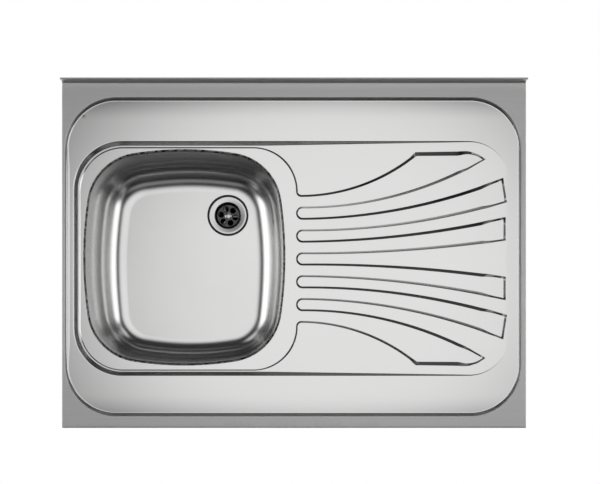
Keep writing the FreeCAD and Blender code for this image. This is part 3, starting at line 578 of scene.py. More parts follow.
def turned_rows(path: np.ndarray, closed: bool = True) -> np.ndarray:
    """A path, turned round the waste's axis, as rows of points.

    Args:
        path: Radius and height of each point.
        closed: Whether the path's end joins its start.

    Returns:
        An array of shape (path, turn, 3).
    """
    around = np.linspace(0, 2 * math.pi, TURNED, endpoint=False)
    loop = np.concatenate([path, path[:1]]) if closed else path
    radius, height = loop[:, :1], np.repeat(loop[:, 1:], TURNED, 1)
    return np.stack([WASTE[0] + radius * np.cos(around), WASTE[1] + radius * np.sin(around), height], -1)


def turned_section(corners: Sequence[Sequence[float]], base: float) -> np.ndarray:
    """A closed section with rounded corners, turned round the waste's axis.

    Args:
        corners: Radius, height over the base, and bend of each corner.
        base: Height of the base.

    Returns:
        Rows of points.
    """
    table = np.array(corners, float)
    return turned_rows(rounded_path(table[:, :2] + [0, base], table[:, 2]))


def add_wall(piece: bpy.types.Object, thickness: float, even_offset: bool = True) -> None:
    """Gives an open skin a sheet's thickness, away from the side that it faces.

    Args:
        piece: The skin.
        thickness: The sheet's thickness.
        even_offset: Whether the wall keeps its thickness round bends. Sharp corners can't have it.
    """
    wall = piece.modifiers.new("sheet_wall", "SOLIDIFY")
    wall.thickness = thickness * MM
    wall.offset = -1
    wall.use_even_offset = even_offset


def softened_copy(node: str, width: float, segments: int = 2) -> bpy.types.Object:
    """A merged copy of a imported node's triangles, in the same place.

    Args:
        node: The node.
        width: Width of the bevel that rounds its sharp edges.
        segments: Segments of the bevel.

    Returns:
        The copy.
    """
    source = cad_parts[node].data
    points = np.empty(3 * len(source.vertices), np.float32)
    source.vertices.foreach_get("co", points)
    corners = np.empty(len(source.loops), np.int32)
    source.loops.foreach_get("vertex_index", corners)
    mesh = bpy.data.meshes.new(f"{node}_softened")
    mesh.from_pydata(points.reshape(-1, 3).tolist(), [], corners.reshape(-1, 3).tolist())
    work = bmesh.new()
    work.from_mesh(mesh)
    bmesh.ops.remove_doubles(work, verts=work.verts, dist=MERGED * MM)
    bmesh.ops.dissolve_limit(work, angle_limit=math.radians(FLAT_ANGLE), verts=work.verts,
                             edges=work.edges)
    work.to_mesh(mesh)
    work.free()
    mesh.shade_smooth()
    piece = linked(mesh.name, mesh)
    bevel = piece.modifiers.new("soft_edges", "BEVEL")
    bevel.width = width * MM
    bevel.segments = segments
    bevel.limit_method = "ANGLE"
    bevel.angle_limit = math.radians(SHARP_ANGLE)
    bevel.harden_normals = True
    return piece


def dress(piece: bpy.types.Object, material: bpy.types.Material, slot: Slot, body: str, *nodes: str) -> None:
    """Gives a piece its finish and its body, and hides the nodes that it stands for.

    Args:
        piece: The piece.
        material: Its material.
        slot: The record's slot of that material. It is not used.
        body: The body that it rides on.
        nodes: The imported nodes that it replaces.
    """
    piece.data.materials.append(material)
    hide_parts(*nodes)
    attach(piece, body)
    log.info("%s: %d points, stands for %s", piece.name, len(piece.data.vertices), ", ".join(nodes))


def operator(operation: str, swapped: bool = False) -> Callable[["Wire", "Wire | float"], "Wire"]:
    """An operator of a wire, which adds one Math node.

    Args:
        operation: The node's operation.
        swapped: Whether the wire is the second value, as in an operator's reflected form.

    Returns:
        The method for the operator.
    """
    def apply(wire: "Wire", other: "Wire | float") -> "Wire":
        """The result of the operation on a wire and another value."""
        return wire.math(operation, *((other, wire) if swapped else (wire, other)))

    return apply


class Wire:
    """An output socket. An expression on wires and numbers adds its Math nodes."""

    __add__, __radd__ = operator("ADD"), operator("ADD", True)
    __sub__, __rsub__ = operator("SUBTRACT"), operator("SUBTRACT", True)
    __mul__, __rmul__ = operator("MULTIPLY"), operator("MULTIPLY", True)
    __pow__, __rpow__ = operator("POWER"), operator("POWER", True)

    def __init__(self, tree: "NodeTree", socket: bpy.types.NodeSocket | None) -> None:
        """Wraps an output socket of a tree."""
        self.tree = tree
        self.socket = socket

    def math(self, operation: str, *values: "Wire | float") -> "Wire":
        """The result of one Math node."""
        return self.tree.node("ShaderNodeMath", {"operation": operation}, dict(enumerate(values)))

    def __abs__(self) -> "Wire":
        """The size of self."""
        return self.math("ABSOLUTE", self)

    def sine(self) -> "Wire":
        """The sine of self."""
        return self.math("SINE", self)

    def away(self, other: "Wire") -> "Wire":
        """The square root of self squared plus other squared."""
        return (self * self + other * other) ** 0.5

    def rise(self, low: float, high: float) -> "Wire":
        """A smooth 0 to 1 as self goes from low to high."""
        return self.tree.node("ShaderNodeMapRange", {"interpolation_type": "SMOOTHSTEP"},
                              {"Value": self, "From Min": low, "From Max": high})


class NodeTree:
    """A material under construction. One method adds any node."""

    def __init__(self, name: str) -> None:
        """Makes an empty material of that name.

        Args:
            name: The material's name.
        """
        self.material = bpy.data.materials.new(name)
        self.material.use_nodes = True
        self.nodes = self.material.node_tree.nodes
        self.links = self.material.node_tree.links
        self.nodes.clear()

    def node(self, kind: str, settings: dict | None = None, inputs: dict | None = None,
             output: int | str = 0) -> Wire:
        """Adds a node.

        Args:
            kind: The node's type.
            settings: Its own properties, set first.
            inputs: Values or wires for its sockets, by name or number.
            output: The output that is wanted.

        Returns:
            That output.
        """
        made = self.nodes.new(kind)
        for key, value in (settings or {}).items():
            setattr(made, key, value)
        for key, value in (inputs or {}).items():
            if isinstance(value, Wire):
                self.links.new(value.socket, made.inputs[key])
            else:
                made.inputs[key].default_value = value
        return Wire(self, made.outputs[output] if made.outputs else None)

    def place(self, scale: Sequence[float] = (1, 1, 1), shift: Sequence[float] = (0, 0, 0)) -> Wire:
        """Object coordinates times a scale, after a shift in metres.

        Args:
            scale: The scale along each axis.
            shift: The point that goes to zero.

        Returns:
            The vector.
        """
        source = self.node("ShaderNodeTexCoord", output="Object")
        moved = tuple(-s * k for s, k in zip(shift, scale))
        return self.node("ShaderNodeMapping", None,
                         {"Vector": source, "Scale": tuple(scale), "Location": moved})

    def parts(self, vector: Wire) -> tuple[Wire, ...]:
        """The three components of a vector."""
        split = self.node("ShaderNodeSeparateXYZ", None, {0: vector})
        return tuple(Wire(self, output) for output in split.socket.node.outputs)

    def mark(self, name: str) -> Wire:
        """A point attribute of the piece."""
        return self.node("ShaderNodeAttribute", {"attribute_name": name}, output="Fac")

    def noise(self, scale: float, detail: float = 2, rough: float = 0.5,
              stretch: Sequence[float] = (1, 1, 1)) -> Wire:
        """A noise from 0 to 1, finer along the axes with a larger stretch."""
        return self.node("ShaderNodeTexNoise", None, {
            "Vector": self.place(stretch), "Scale": scale, "Detail": detail, "Roughness": rough})

    def grey(self, value: Wire, tint: Sequence[float] = (1, 1, 1)) -> Wire:
        """A number as a tinted grey."""
        return self.blend(value, (0, 0, 0), tint)

    def blend(self, share: Wire, first: "Sequence[float] | Wire", second: "Sequence[float] | Wire") -> Wire:
        """A colour between two, by a share."""
        ends = [end if isinstance(end, Wire) else (*end, 1) for end in (first, second)]
        return self.node("ShaderNodeMix", {"data_type": "RGBA"}, {0: share, 6: ends[0], 7: ends[1]}, 2)

    def bump(self, height: Wire, distance: float, strength: float = 1.0) -> Wire:
        """A normal from a height in units of distance, in millimetres."""
        return self.node("ShaderNodeBump", None,
                         {"Height": height, "Distance": distance * MM, "Strength": strength})

    def finish(self, **inputs: "Wire | float | Sequence[float]") -> bpy.types.Material:
        """Ends the material in a Principled shader. An underscore in a name stands for a space.

        Args:
            inputs: Values or wires for the shader's sockets.

        Returns:
            The material.
        """
        sockets = {key.replace("_", " "): value for key, value in inputs.items()}
        shader = self.node("ShaderNodeBsdfPrincipled", None, sockets)
        self.node("ShaderNodeOutputMaterial", None, {"Surface": shader})
        return self.material

    def glow(self, colour: "Wire | Sequence[float]", strength: float) -> bpy.types.Material:
        """Ends the material in a black shader that only glows."""
        return self.finish(Base_Color=BLACK, Roughness=1.0, Specular_IOR_Level=0.0,
                           Emission_Color=colour, Emission_Strength=strength)


@dataclass(frozen=True)
class SatinSteel:
    """Satin stainless sheet, brushed from left to right. The rim is brushed more coarsely.

    Args:
        name: The material's name.
        bright: Grey of the pressed parts.
        dull: Grey of the rim.
        smooth: Roughness of the pressed parts.
        rough: Roughness of the rim.
        ripple: Height of the ripples that drawing leaves round a deep wall.
        patchy: How much the grey varies in hand-sized patches.
        streaky: How much the grey varies with the brush marks, and how much more on the rim.
        burn: How much the weld darkens the steel, and how much more in its specks.
        scratch: Height of the brush marks.
        fine_brush: Repeats per metre of the finer brush marks, along X, Y and Z.
        coarse_brush: Those of the coarser ones.
        ripples: Those of the ripples.
        specks: Those of the weld's specks.
        clouds: Patches per metre.
    """

    name: str
    bright: float = 0.66
    dull: float = 0.63
    smooth: float = 0.17
    rough: float = 0.48
    ripple: float = 0.0
    patchy: float = 0.05
    streaky: tuple[float, float] = (0.05, 0.10)
    burn: tuple[float, float] = (0.62, 0.36)
    scratch: float = 0.004
    fine_brush: tuple[float, float, float] = (14, 1100, 1100)
    coarse_brush: tuple[float, float, float] = (5, 240, 240)
    ripples: tuple[float, float, float] = (2.5, 2.5, 75)
    specks: tuple[float, float, float] = (330, 330, 330)
    clouds: float = 6.0

    def material(self) -> bpy.types.Material:
        """The finish. Attributes: rim, and weld along the bowl's seam.

        Returns:
            The material.
        """
        tree = NodeTree(self.name)
        rim, weld = tree.mark("rim"), tree.mark("weld")
        fine = tree.noise(1.0, 2, 0.6, self.fine_brush)
        coarse = tree.noise(1.0, 3, 0.55, self.coarse_brush)
        cloud = tree.noise(self.clouds, 3) - 0.5
        ripple = tree.noise(1.0, 2, 0.45, self.ripples)
        speck = tree.noise(1.0, 2, 0.5, self.specks).rise(0.42, 0.6)
        brush = fine * 0.6 + coarse * 0.4 - 0.5
        shade = cloud * self.patchy + brush * (self.streaky[0] + rim * self.streaky[1])
        grey = self.bright + rim * (self.dull - self.bright) + shade
        burnt = 1 - weld * (self.burn[0] + speck * self.burn[1])
        rough = self.smooth + rim * (self.rough - self.smooth) + brush * 0.08 + cloud * 0.05
        return tree.finish(Base_Color=tree.grey(grey * burnt, (1.0, 1.0, 0.995)),
                           Roughness=rough + weld * 0.2, Metallic=1.0,
                           Normal=tree.bump(brush * self.scratch + ripple * self.ripple, 1.0, 0.8))


@dataclass(frozen=True)
class PolishedSteel:
    """Turned or stamped steel with faint circular marks round an upright axis.

    Args:
        name: The material's name.
        axis: The axis in plan.
        grey: Its grey.
        roughness: Its roughness.
        marks: Marks per metre away from the axis, and per metre up.
        stain: How much the painted shade, marked by the attribute of that name, darkens it, and how much
            more with the wear noise.
        wear: Worn patches per metre.
    """

    name: str
    axis: tuple[float, float]
    grey: float
    roughness: float
    marks: tuple[float, float] = (1500, 700)
    stain: tuple[float, float] = (0.84, 0.1)
    wear: float = 60.0

    def material(self) -> bpy.types.Material:
        """The finish: rings of noise on the distance from the axis.

        Returns:
            The material.
        """
        tree = NodeTree(self.name)
        x, y, z = tree.parts(tree.place(shift=(self.axis[0] * MM, self.axis[1] * MM, 0)))
        marks = tree.node("ShaderNodeTexNoise", {"noise_dimensions": "1D"},
                          {"W": x.away(y) * self.marks[0] + z * self.marks[1], "Scale": 1.0,
                           "Detail": 2.0}) - 0.5
        wear = tree.noise(self.wear, 3)
        worn = wear - 0.5
        # A painted shade darkens the steel where the attribute marks it, which is the strainer's cup and
        # plate.
        unshaded = 1 - tree.mark("stain") * (self.stain[0] + wear * self.stain[1])
        grey = (self.grey + marks * 0.08 + worn * 0.08) * unshaded
        return tree.finish(Base_Color=tree.grey(grey), Roughness=self.roughness + marks * 0.12 + worn * 0.1,
                           Metallic=1.0, Normal=tree.bump(marks, 0.004, 0.5))


@dataclass(frozen=True)
class PlatedSteel:
    """Zinc-plated steel, or turned brass, with a faint spangle and duller patches.

    Args:
        name: The material's name.
        tint: Its colour.
        spangle: Cells of the spangle per metre.
        patches: Duller patches per metre.
        grain: Grains per metre.
    """

    name: str
    tint: tuple[float, float, float] = (0.60, 0.62, 0.64)
    spangle: float = 420.0
    patches: float = 55.0
    grain: float = 1800.0

    def material(self) -> bpy.types.Material:
        """The finish: cells of slightly different greys under a fine grain.

        Returns:
            The material.
        """
        tree = NodeTree(self.name)
        cells = tree.node("ShaderNodeTexVoronoi", {"feature": "F1"},
                          {"Vector": tree.place(), "Scale": self.spangle}, "Color")
        spangle = tree.parts(cells)[0]
        patch = tree.noise(self.patches, 4, 0.6)
        grain = tree.noise(self.grain)
        return tree.finish(Base_Color=tree.grey(0.78 + spangle * 0.22 + (patch - 0.5) * 0.3, self.tint),
                           Roughness=0.3 + spangle * 0.1 + patch * 0.12, Metallic=1.0,
                           Normal=tree.bump(grain * 0.6 + spangle * 0.4, 0.01, 0.6))


@dataclass(frozen=True)
class SawnTimber:
    """Sawn softwood, with its growth lines along one axis.

    Args:
        name: The material's name.
        grain: The axis of the grain.
        pale: Colour of the wood between its lines.
        dark: Colour of the lines.
        rings: Growth lines across one swing of the noise that bends them.
        fibres: How many times finer the fibres are than that noise.
        streaks: How many times finer the dark streaks are.
    """

    name: str
    grain: Grain
    pale: tuple[float, float, float] = (0.62, 0.43, 0.24)
    dark: tuple[float, float, float] = (0.40, 0.23, 0.10)
    rings: float = 26.0
    fibres: float = 40.0
    streaks: float = 4.0

    def material(self) -> bpy.types.Material:
        """The finish: wavy bands across the grain, with fibres and a few darker streaks.

        Returns:
            The material.
        """
        tree = NodeTree(self.name)
        stretch = self.grain.value
        bend = tree.noise(1.0, 2, 0.4, stretch)
        rings = ((bend * self.rings).sine() * 0.5 + 0.5) ** 2.2
        fibre = tree.noise(1.0, 3, 0.6, tuple(self.fibres * s for s in stretch))
        streak = tree.noise(1.0, 3, 0.6, tuple(self.streaks * s for s in stretch))
        share = rings * 0.45 + (fibre - 0.4) * 0.5 + streak.rise(0.52, 0.75) * 0.35
        height = fibre * 0.7 + rings * 0.3
        return tree.finish(Base_Color=tree.blend(share, self.pale, self.dark), Roughness=0.62 + fibre * 0.2,
                           Normal=tree.bump(height, 0.12, 0.7))


@dataclass(frozen=True)
class MouldedPlastic:
    """Matt moulded plastic or rubber with a fine grain and faint flow marks.

    Args:
        name: The material's name.
        tint: Its colour.
        roughness: Its roughness.
        depth: Depth of its grain.
        grain: Grains per metre.
        flow: Flow marks per metre.
        dust: Dusty patches per metre.
        dusty: How far the dust's pale colour covers it.
    """

    name: str
    tint: tuple[float, float, float]
    roughness: float
    depth: float = 0.01
    grain: float = 2600.0
    flow: float = 38.0
    dust: float = 160.0
    dusty: float = 0.25

    def material(self) -> bpy.types.Material:
        """The finish: a grain under flow marks and patches of pale dust.

        Returns:
            The material.
        """
        tree = NodeTree(self.name)
        fine = tree.noise(self.grain)
        flow = tree.noise(self.flow, 4, 0.55, (1, 1, 2.5))
        dust = tree.noise(self.dust, 4, 0.65).rise(0.55, 0.8)
        shade = tree.grey(0.88 + flow * 0.2, self.tint)
        pale = tuple(min(1.0, 0.75 * part + 0.14) for part in self.tint)
        return tree.finish(Base_Color=tree.blend(dust * self.dusty, shade, pale),
                           Roughness=self.roughness + (flow - 0.5) * 0.15 + dust * 0.1,
                           Normal=tree.bump(fine, self.depth, 0.8))


@dataclass(frozen=True)
class EmbossedPad:
    """Sound-deadening sheet: soft grey-black compound with an embossed diamond pattern.

    Args:
        name: The material's name.
        pitch: Width of a diamond.
        depth: Depth of its embossed lines.
        grain: Grains per metre.
    """

    name: str
    pitch: float = 6.0
    depth: float = 0.5
    grain: float = 900.0

    def material(self) -> bpy.types.Material:
        """The finish: the product of two slanted sine waves, over a grain.

        Returns:
            The material.
        """
        tree = NodeTree(self.name)
        x, y, _ = tree.parts(tree.place())
        turns = math.pi / (self.pitch * MM)
        lattice = abs(((x + y) * turns).sine() * ((x - y) * turns).sine())
        lines = 1 - lattice.rise(0.0, 0.18)
        grain = tree.noise(self.grain, 3)
        # The embossed lines are a little darker in colour: painted shade in the grooves.
        return tree.finish(Base_Color=tree.grey(0.05 + grain * 0.03 - lines * 0.02, (1, 0.98, 0.95)),
                           Roughness=0.6 + grain * 0.25,
                           Normal=tree.bump(grain * 0.15 - lines, self.depth, 0.8))


@dataclass(frozen=True)
class Levels:
    """Heights of the pressed flats, from X. The tray and the channels rise to the right.

    Args:
        rim: Height of the rim.
        deck: Height of the deck.
        tray: Height of the tray where it is level.
        tray_kink: X at which the tray starts to rise.
        tray_end: X at which it reaches the deck.
        surround: Height of the bowl's surround.
        channel_start: X at which the channels' floors start to rise.
        channel_end: X at which they would reach their full height.
        channel_high: That height.
        blends: Half the lengths of the curves at the tray's kink and end, and at the channels' start.
    """

    rim: float = 32.0
    deck: float = 27.0
    tray: float = 19.0
    tray_kink: float = -52.0
    tray_end: float = 366.5
    surround: float = 17.25
    channel_start: float = 5.0
    channel_end: float = 400.0
    channel_high: float = 22.3
    blends: tuple[float, float, float] = (18.0, 1.2, 8.0)

    def tray_at(self, plan: np.ndarray) -> np.ndarray:
        """The tray's height: level, then a straight rise that ends in a crease at the deck.

        Args:
            plan: Points in plan.

        Returns:
            A height for each.
        """
        slope = (self.deck - self.tray) / (self.tray_end - self.tray_kink)
        x = plan[:, 0]
        rise = soft_ramp(x - self.tray_kink, self.blends[0]) - soft_ramp(x - self.tray_end, self.blends[1])
        return np.minimum(self.tray + slope * rise, self.deck)

    def channel_at(self, plan: np.ndarray) -> np.ndarray:
        """The height of the surround and of the channels' floors, which rise from its edge."""
        slope = (self.channel_high - self.surround) / (self.channel_end - self.channel_start)
        return self.surround + slope * soft_ramp(plan[:, 0] - self.channel_start, self.blends[2])


@dataclass
class Drainer:
    """Outline of the bowl's surround and of the six channels that fan out from it."""

    middle: float = -7.5
    surround_left: float = -371.6
    surround_rear: float = 193.0
    surround_radius: float = 75.0
    tip_x: float = 5.0
    end_xs: tuple[float, ...] = (361.0, 361.0, 362.6, 357.8)
    start_reach: float = 109.2
    end_reach: float = 196.4
    start_shares: tuple[float, ...] = (1 / 11, 3 / 11, 5 / 11, 7 / 11, 9 / 11, 1)
    end_shares: tuple[float, ...] = (0.182, 0.335, 0.515, 0.677, 1)
    outer_radius: float = 318.0
    tip_radius: float = 8.0
    wall_reach: float = 179.5
    wall_end: float = 297.0
    nose_radius: float = 52.0

    @staticmethod
    def fan_radius(start: Sequence[float], end: Sequence[float]) -> float:
        """Radius of the arc that leaves start along X and passes through end."""
        run, rise = end[0] - start[0], end[1] - start[1]
        return (run**2 + rise**2) / (2 * rise)

    @staticmethod
    def crossing(first: Sequence[float], first_radius: float, second: Sequence[float],
                 second_radius: float) -> tuple[float, float]:
        """The crossing of two circles that lies furthest right.

        Args:
            first: Centre of the first circle.
            first_radius: Its radius.
            second: Centre of the second circle.
            second_radius: Its radius.

        Returns:
            The crossing's X and Y.
        """
        span = math.dist(first, second)
        unit = ((second[0] - first[0]) / span, (second[1] - first[1]) / span)
        along = (first_radius**2 - second_radius**2 + span**2) / (2 * span)
        across = math.sqrt(first_radius**2 - along**2)
        return max((first[0] + along * unit[0] + side * across * unit[1],
                    first[1] + along * unit[1] - side * across * unit[0]) for side in (1, -1))

    def outline(self) -> Outline:
        """The winding outline: the half above the middle line, the middle rib and its mirror image.

        Returns:
            The closed outline.
        """
        starts = [share * self.start_reach for share in self.start_shares]
        ends = [share * self.end_reach for share in self.end_shares]
        rib = (starts[2] - starts[1]) / 2
        start_x = self.tip_x + rib
        quarter = starts[5] + self.tip_radius
        right = self.surround_rear - quarter
        half = [
            Arc(self.surround_left + self.surround_radius, self.surround_rear - self.surround_radius,
                self.surround_radius, 180, 90),
            Arc(self.tip_x - right, quarter, right, 90, 0),
            Arc(self.tip_x + self.tip_radius, quarter, self.tip_radius, 180, 270, -1),
        ]
        half += self._outer_channel(starts, ends, start_x)
        for upper, lower in ((3, 2), (1, 0)):
            half.append(Arc(start_x, (starts[upper] + starts[upper + 1]) / 2, rib, 90, 270, -1))
            knees = [(self.end_xs[k], ends[k]) for k in (upper, lower)]
            lean = bearing(knees[1], knees[0]) - 90
            for k, knee in zip((upper, lower), knees):
                radius = self.fan_radius((start_x, starts[k]), knee)
                line = (start_x, starts[k] + radius)
                angle = bearing(line, knee)
                if k == upper:
                    half += [Arc(*line, radius, -90, angle, -1), Arc(*knee, 0, angle + 180, lean)]
                else:
                    half += [Arc(*knee, 0, lean, angle), Arc(*line, radius, angle, -90)]
        upper_half = tuple(one.moved(self.middle) for one in half)
        lower_half = tuple(one.mirrored(self.middle) for one in reversed(upper_half))
        return Outline(upper_half + (Arc(start_x, self.middle, rib, 90, 270, -1),) + lower_half)

    def _outer_channel(self, starts: list[float], ends: list[float], start_x: float) -> list[Arc]:
        """The outermost line, its corner with the straight wall, the nose, and the line back.

        Args:
            starts: How far the lines' left ends lie from the middle line.
            ends: How far their right ends lie from it.
            start_x: X of the left ends.

        Returns:
            The arcs in order.
        """
        outer = (self.tip_x + self.tip_radius, starts[5] + self.outer_radius)
        drop = outer[1] - self.wall_reach
        knee = (outer[0] + math.sqrt(self.outer_radius**2 - drop**2), self.wall_reach)
        angle = bearing(outer, knee)
        nose = (self.wall_end, self.wall_reach - self.nose_radius)
        radius = self.fan_radius((start_x, starts[4]), (self.end_xs[2], ends[4]))
        line = (start_x, starts[4] + radius)
        tip = self.crossing(line, radius, nose, self.nose_radius)
        return [
            Arc(*outer, self.outer_radius, -90, angle, -1), Arc(*knee, 0, angle + 180, 90),
            Arc(*nose, self.nose_radius, 90, bearing(nose, tip)),
            Arc(*tip, 0, bearing(nose, tip), bearing(line, tip)),
            Arc(*line, radius, bearing(line, tip), -90),
        ]


@dataclass
class BowlMouth:
    """The bowl's outline: four slightly bowed sides, tangent to four corner arcs."""

    x: float = -190.6
    y: float = -4.7
    half_width: float = 174.8
    half_depth: float = 187.0
    side_radius: float = 700.0
    end_radius: float = 560.0
    corner: float = 95.0
    pitch: float = 6.0

    def outline(self) -> Outline:
        """The outline. A corner's centre lies at known distances from the centres of its two sides.

        Returns:
            The closed outline.
        """
        side_offset, end_offset = self.side_radius - self.half_width, self.end_radius - self.half_depth
        to_side, to_end = self.side_radius - self.corner, self.end_radius - self.corner
        span = math.hypot(side_offset, end_offset)
        along = (to_side**2 - to_end**2 + span**2) / (2 * span)
        across = math.sqrt(to_side**2 - along**2)
        unit = (side_offset / span, -end_offset / span)
        corner = (-side_offset + along * unit[0] - across * unit[1], along * unit[1] + across * unit[0])
        side = bearing((-side_offset, 0), corner)
        end = bearing((0, -end_offset), corner)
        arcs: list[Arc] = []
        for flip, base in ((1, 0), (-1, 180)):
            arcs += [
                Arc(self.x - flip * side_offset, self.y, self.side_radius, base - side, base + side),
                Arc(self.x + flip * corner[0], self.y + flip * corner[1], self.corner,
                    base + side, base + end),
                Arc(self.x, self.y - flip * end_offset, self.end_radius, base + end, base + 180 - end),
                Arc(self.x - flip * corner[0], self.y + flip * corner[1], self.corner,
                    base + 180 - end, base + 180 - side),
            ]
        return Outline(tuple(arcs))

    def rings(self, reaches: Sequence[float], lift: Rule) -> np.ndarray:
        """Rings at several distances outside the outline, lifted by a rule."""
        points, normals = self.outline().sample(self.pitch)
        return np.stack([lift(points + reach * normals) for reach in reaches])


@dataclass
class PressedDeck:
    """The pressed top: apron, rim, upstand, stepped deck, tray, surround and channels.

    Fields that end in xs or reaches are pairs of places, between which a ramp goes from 0 to 1. A
    reach is counted from the drainer's middle line, or from the left step's own middle.
    """

    finish: SatinSteel
    levels: Levels = field(default_factory=Levels)
    mouth: BowlMouth = field(default_factory=BowlMouth)
    drainer: Drainer = field(default_factory=Drainer)
    half_width: float = 400.0
    half_depth: float = 300.0
    front_edge: float = 2.0
    side_edge: float = 1.0
    edge_segments: int = 4
    edge_turn: float = 15.0
    upstand: float = 20.0
    hem: float = 3.0
    hem_radius: float = 1.2
    cove: float = 4.0
    cap_reach: float = 290.0
    cap_heights: tuple[float, ...] = (8.0, 17.0, 26.0)
    deck_outline: RoundedRectangle = RoundedRectangle(-391.3, 388.5, -275.5, 266.3, 85, 85)
    tray_outline: RoundedRectangle = RoundedRectangle(-375.2, 365, -203.8, 189.5, 78, 62)
    deck_step: StepProfile = StepProfile(4, 5, 2.6, 2.6, 6, 0.6)
    tray_step: StepProfile = StepProfile(6, 8, 2.8, 1.0, 5, 0.2, (7, 4))
    channel_step: StepProfile = StepProfile(5.0, 4.7, 0.7, 0.5, 4.5, 0.2, (4, 4))
    tray_brim: float = 5.6
    dome: float = 0.8
    dome_reach: float = 32.0
    left_middle: float = -5.0
    left_xs: tuple[float, float] = (-375.0, -387.0)
    left_reaches: tuple[float, float] = (200.0, 150.0)
    left_spread: float = -0.1
    left_bend: float = 1.8
    straight_x: float = 55.0
    straight_reaches: tuple[float, float] = (173.0, 176.0)
    straight_spread: float = 0.35
    tip_xs: tuple[float, float] = (285.0, 310.0)
    tip_reaches: tuple[float, float] = (145.0, 157.0)
    end_xs: tuple[float, float] = (325.0, 347.0)
    end_share: float = 0.75
    tip_spread: float = -0.6
    bowl_flange: float = 0.8
    guard: float = 0.3
    margin: float = 5.0
    spacing: float = 13.0
    deck_spacing: float = 5.0
    tray_spacing: float = 6.0
    crease_start: float = 355.0
    creases: tuple[float, ...] = (-5.0, -3.0, -1.5, -0.5, 1.0, 3.0)

    def side_profile(self) -> Outline:
        """The section from the front apron's foot over the rim and the upstand to the back's foot.

        Returns:
            The open section in Y and Z.
        """
        rim, depth = self.levels.rim, self.half_depth
        top, hem, edge, cove = rim + self.upstand, self.hem_radius, self.front_edge, self.cove
        return Outline((
            Arc(-depth, 0, 0, 180, 180),
            Arc(-depth, self.guard, 0, 180, 180),
            Arc(-depth + edge, rim - edge, edge, 180, 90),
            Arc(depth - self.hem - cove, rim + cove, cove, -90, 0, -1),
            Arc(depth - self.hem + hem, top - hem, hem, 180, 90),
            Arc(depth - hem, top - hem, hem, 90, 0),
            Arc(depth, self.guard, 0, 0, 0),
            Arc(depth, 0, 0, 0, 0),
        ), closed=False)

    def inner_grid(self, spacing: float) -> tuple[np.ndarray, np.ndarray]:
        """Columns and rows of inner points, within a margin of the deck's outline."""
        wide, deep = self.half_width - self.margin, self.half_depth - self.margin
        return even(-wide, wide, spacing), even(-deep, deep, spacing)

    def edges(self, skin: Skin) -> np.ndarray:
        """Adds apron, edges and upstand.

        The section is swept along X. At each end it goes round a quarter circle of the side
        edge's radius r: at the angle t the section is set in by r(1 - cos t) and lies r sin t
        further out. A flat cap closes each end.

        Args:
            skin: The skin that gets them.

        Returns:
            The ring in which the rim's flat lies.
        """
        section, normals = self.side_profile().sample(self.spacing, self.edge_turn)
        reach = self.half_width - self.side_edge
        columns = even(-reach, reach, self.spacing)
        turn = np.linspace(0, math.pi / 2, self.edge_segments + 1)[:, None]
        lying = (np.abs(section[:, 1] - self.levels.rim) < TINY) & (normals[:, 1] > 1 - TINY)
        first, last = np.flatnonzero(lying)[[0, -1]]
        for run in (section[:first + 1], section[last:]):
            y, z = np.repeat(run[None], len(columns), 0).transpose(2, 0, 1)
            skin.grid(np.stack([np.broadcast_to(columns[:, None], y.shape), y, z], -1), closed=False)
        for side in (-1, 1):
            inset = self.side_edge * (1 - np.cos(turn))
            set_in = section[None] - inset[..., None] * normals[None]
            x = np.broadcast_to(side * (reach + self.side_edge * np.sin(turn)), set_in.shape[:2])
            skin.grid(np.concatenate([x[..., None], set_in], -1), closed=False)
            cap = set_in[-1]
            foot = even(cap[0, 0], cap[-1, 0], self.spacing)
            stand = upright(side * self.half_width)
            strip = [stand(np.column_stack([foot, np.full(len(foot), height)])) for height in cap[:2, 1]]
            skin.grid(np.stack(strip), closed=False)
            skin.fill(np.concatenate([cap[1:-1], strip[1][-2:0:-1, 1:]]), [], stand,
                      (even(-self.cap_reach, self.cap_reach, self.spacing), np.array(self.cap_heights)))
        rows = section[first:last + 1, 0]
        return np.concatenate([
            np.column_stack([columns[:-1], np.full(len(columns) - 1, rows[0])]),
            np.column_stack([np.full(len(rows) - 1, reach), rows[:-1]]),
            np.column_stack([columns[:0:-1], np.full(len(columns) - 1, rows[-1])]),
            np.column_stack([np.full(len(rows) - 1, -reach), rows[:0:-1]]),
        ])

    def rim_mark(self, points: np.ndarray) -> np.ndarray:
        """1 outside the deck's step and 0 inside it."""
        return ramp(-self.deck_outline.inset(points), 0, self.deck_step.run)

    def deck_at(self, plan: np.ndarray) -> np.ndarray:
        """The deck's height: at front and rear it falls by dome (1 - inset / reach) squared.

        Args:
            plan: Points in plan.

        Returns:
            A height for each.
        """
        edge = self.deck_outline
        inset = np.minimum(plan[:, 1] - edge.front, edge.rear - plan[:, 1])
        return self.levels.deck - self.dome * ramp(inset, self.dome_reach, 0)**2

    def tray_at(self, plan: np.ndarray) -> np.ndarray:
        """The tray's height, nowhere above the deck's."""
        return np.minimum(self.levels.tray_at(plan), self.deck_at(plan))

    def left_share(self, plan: np.ndarray) -> np.ndarray:
        """1 along the straight left side of the deck's step and 0 elsewhere."""
        return (ramp(plan[:, 0], *self.left_xs)
                * ramp(np.abs(plan[:, 1] - self.left_middle), *self.left_reaches))

    def tip_share(self, plan: np.ndarray) -> np.ndarray:
        """1 at the channels' sharp tips, the end share at their right ends, and 0 away from them.

        Args:
            plan: Points in plan.

        Returns:
            A share for each.
        """
        away = np.abs(plan[:, 1] - self.drainer.middle)
        tips = ramp(plan[:, 0], *self.tip_xs) * ramp(away, *self.tip_reaches)
        return np.maximum(tips, self.end_share * ramp(plan[:, 0], *self.end_xs))

    def spread_at(self, plan: np.ndarray) -> np.ndarray:
        """How much wider the channels' walls are: more along the straight ones, less at the tips.

        Args:
            plan: Points in plan.

        Returns:
            A factor for each.
        """
        away = np.abs(plan[:, 1] - self.drainer.middle)
        straight = ramp(away, *self.straight_reaches) * (plan[:, 0] > self.straight_x)
        return (1 + self.straight_spread * straight) * (1 + self.tip_spread * self.tip_share(plan))

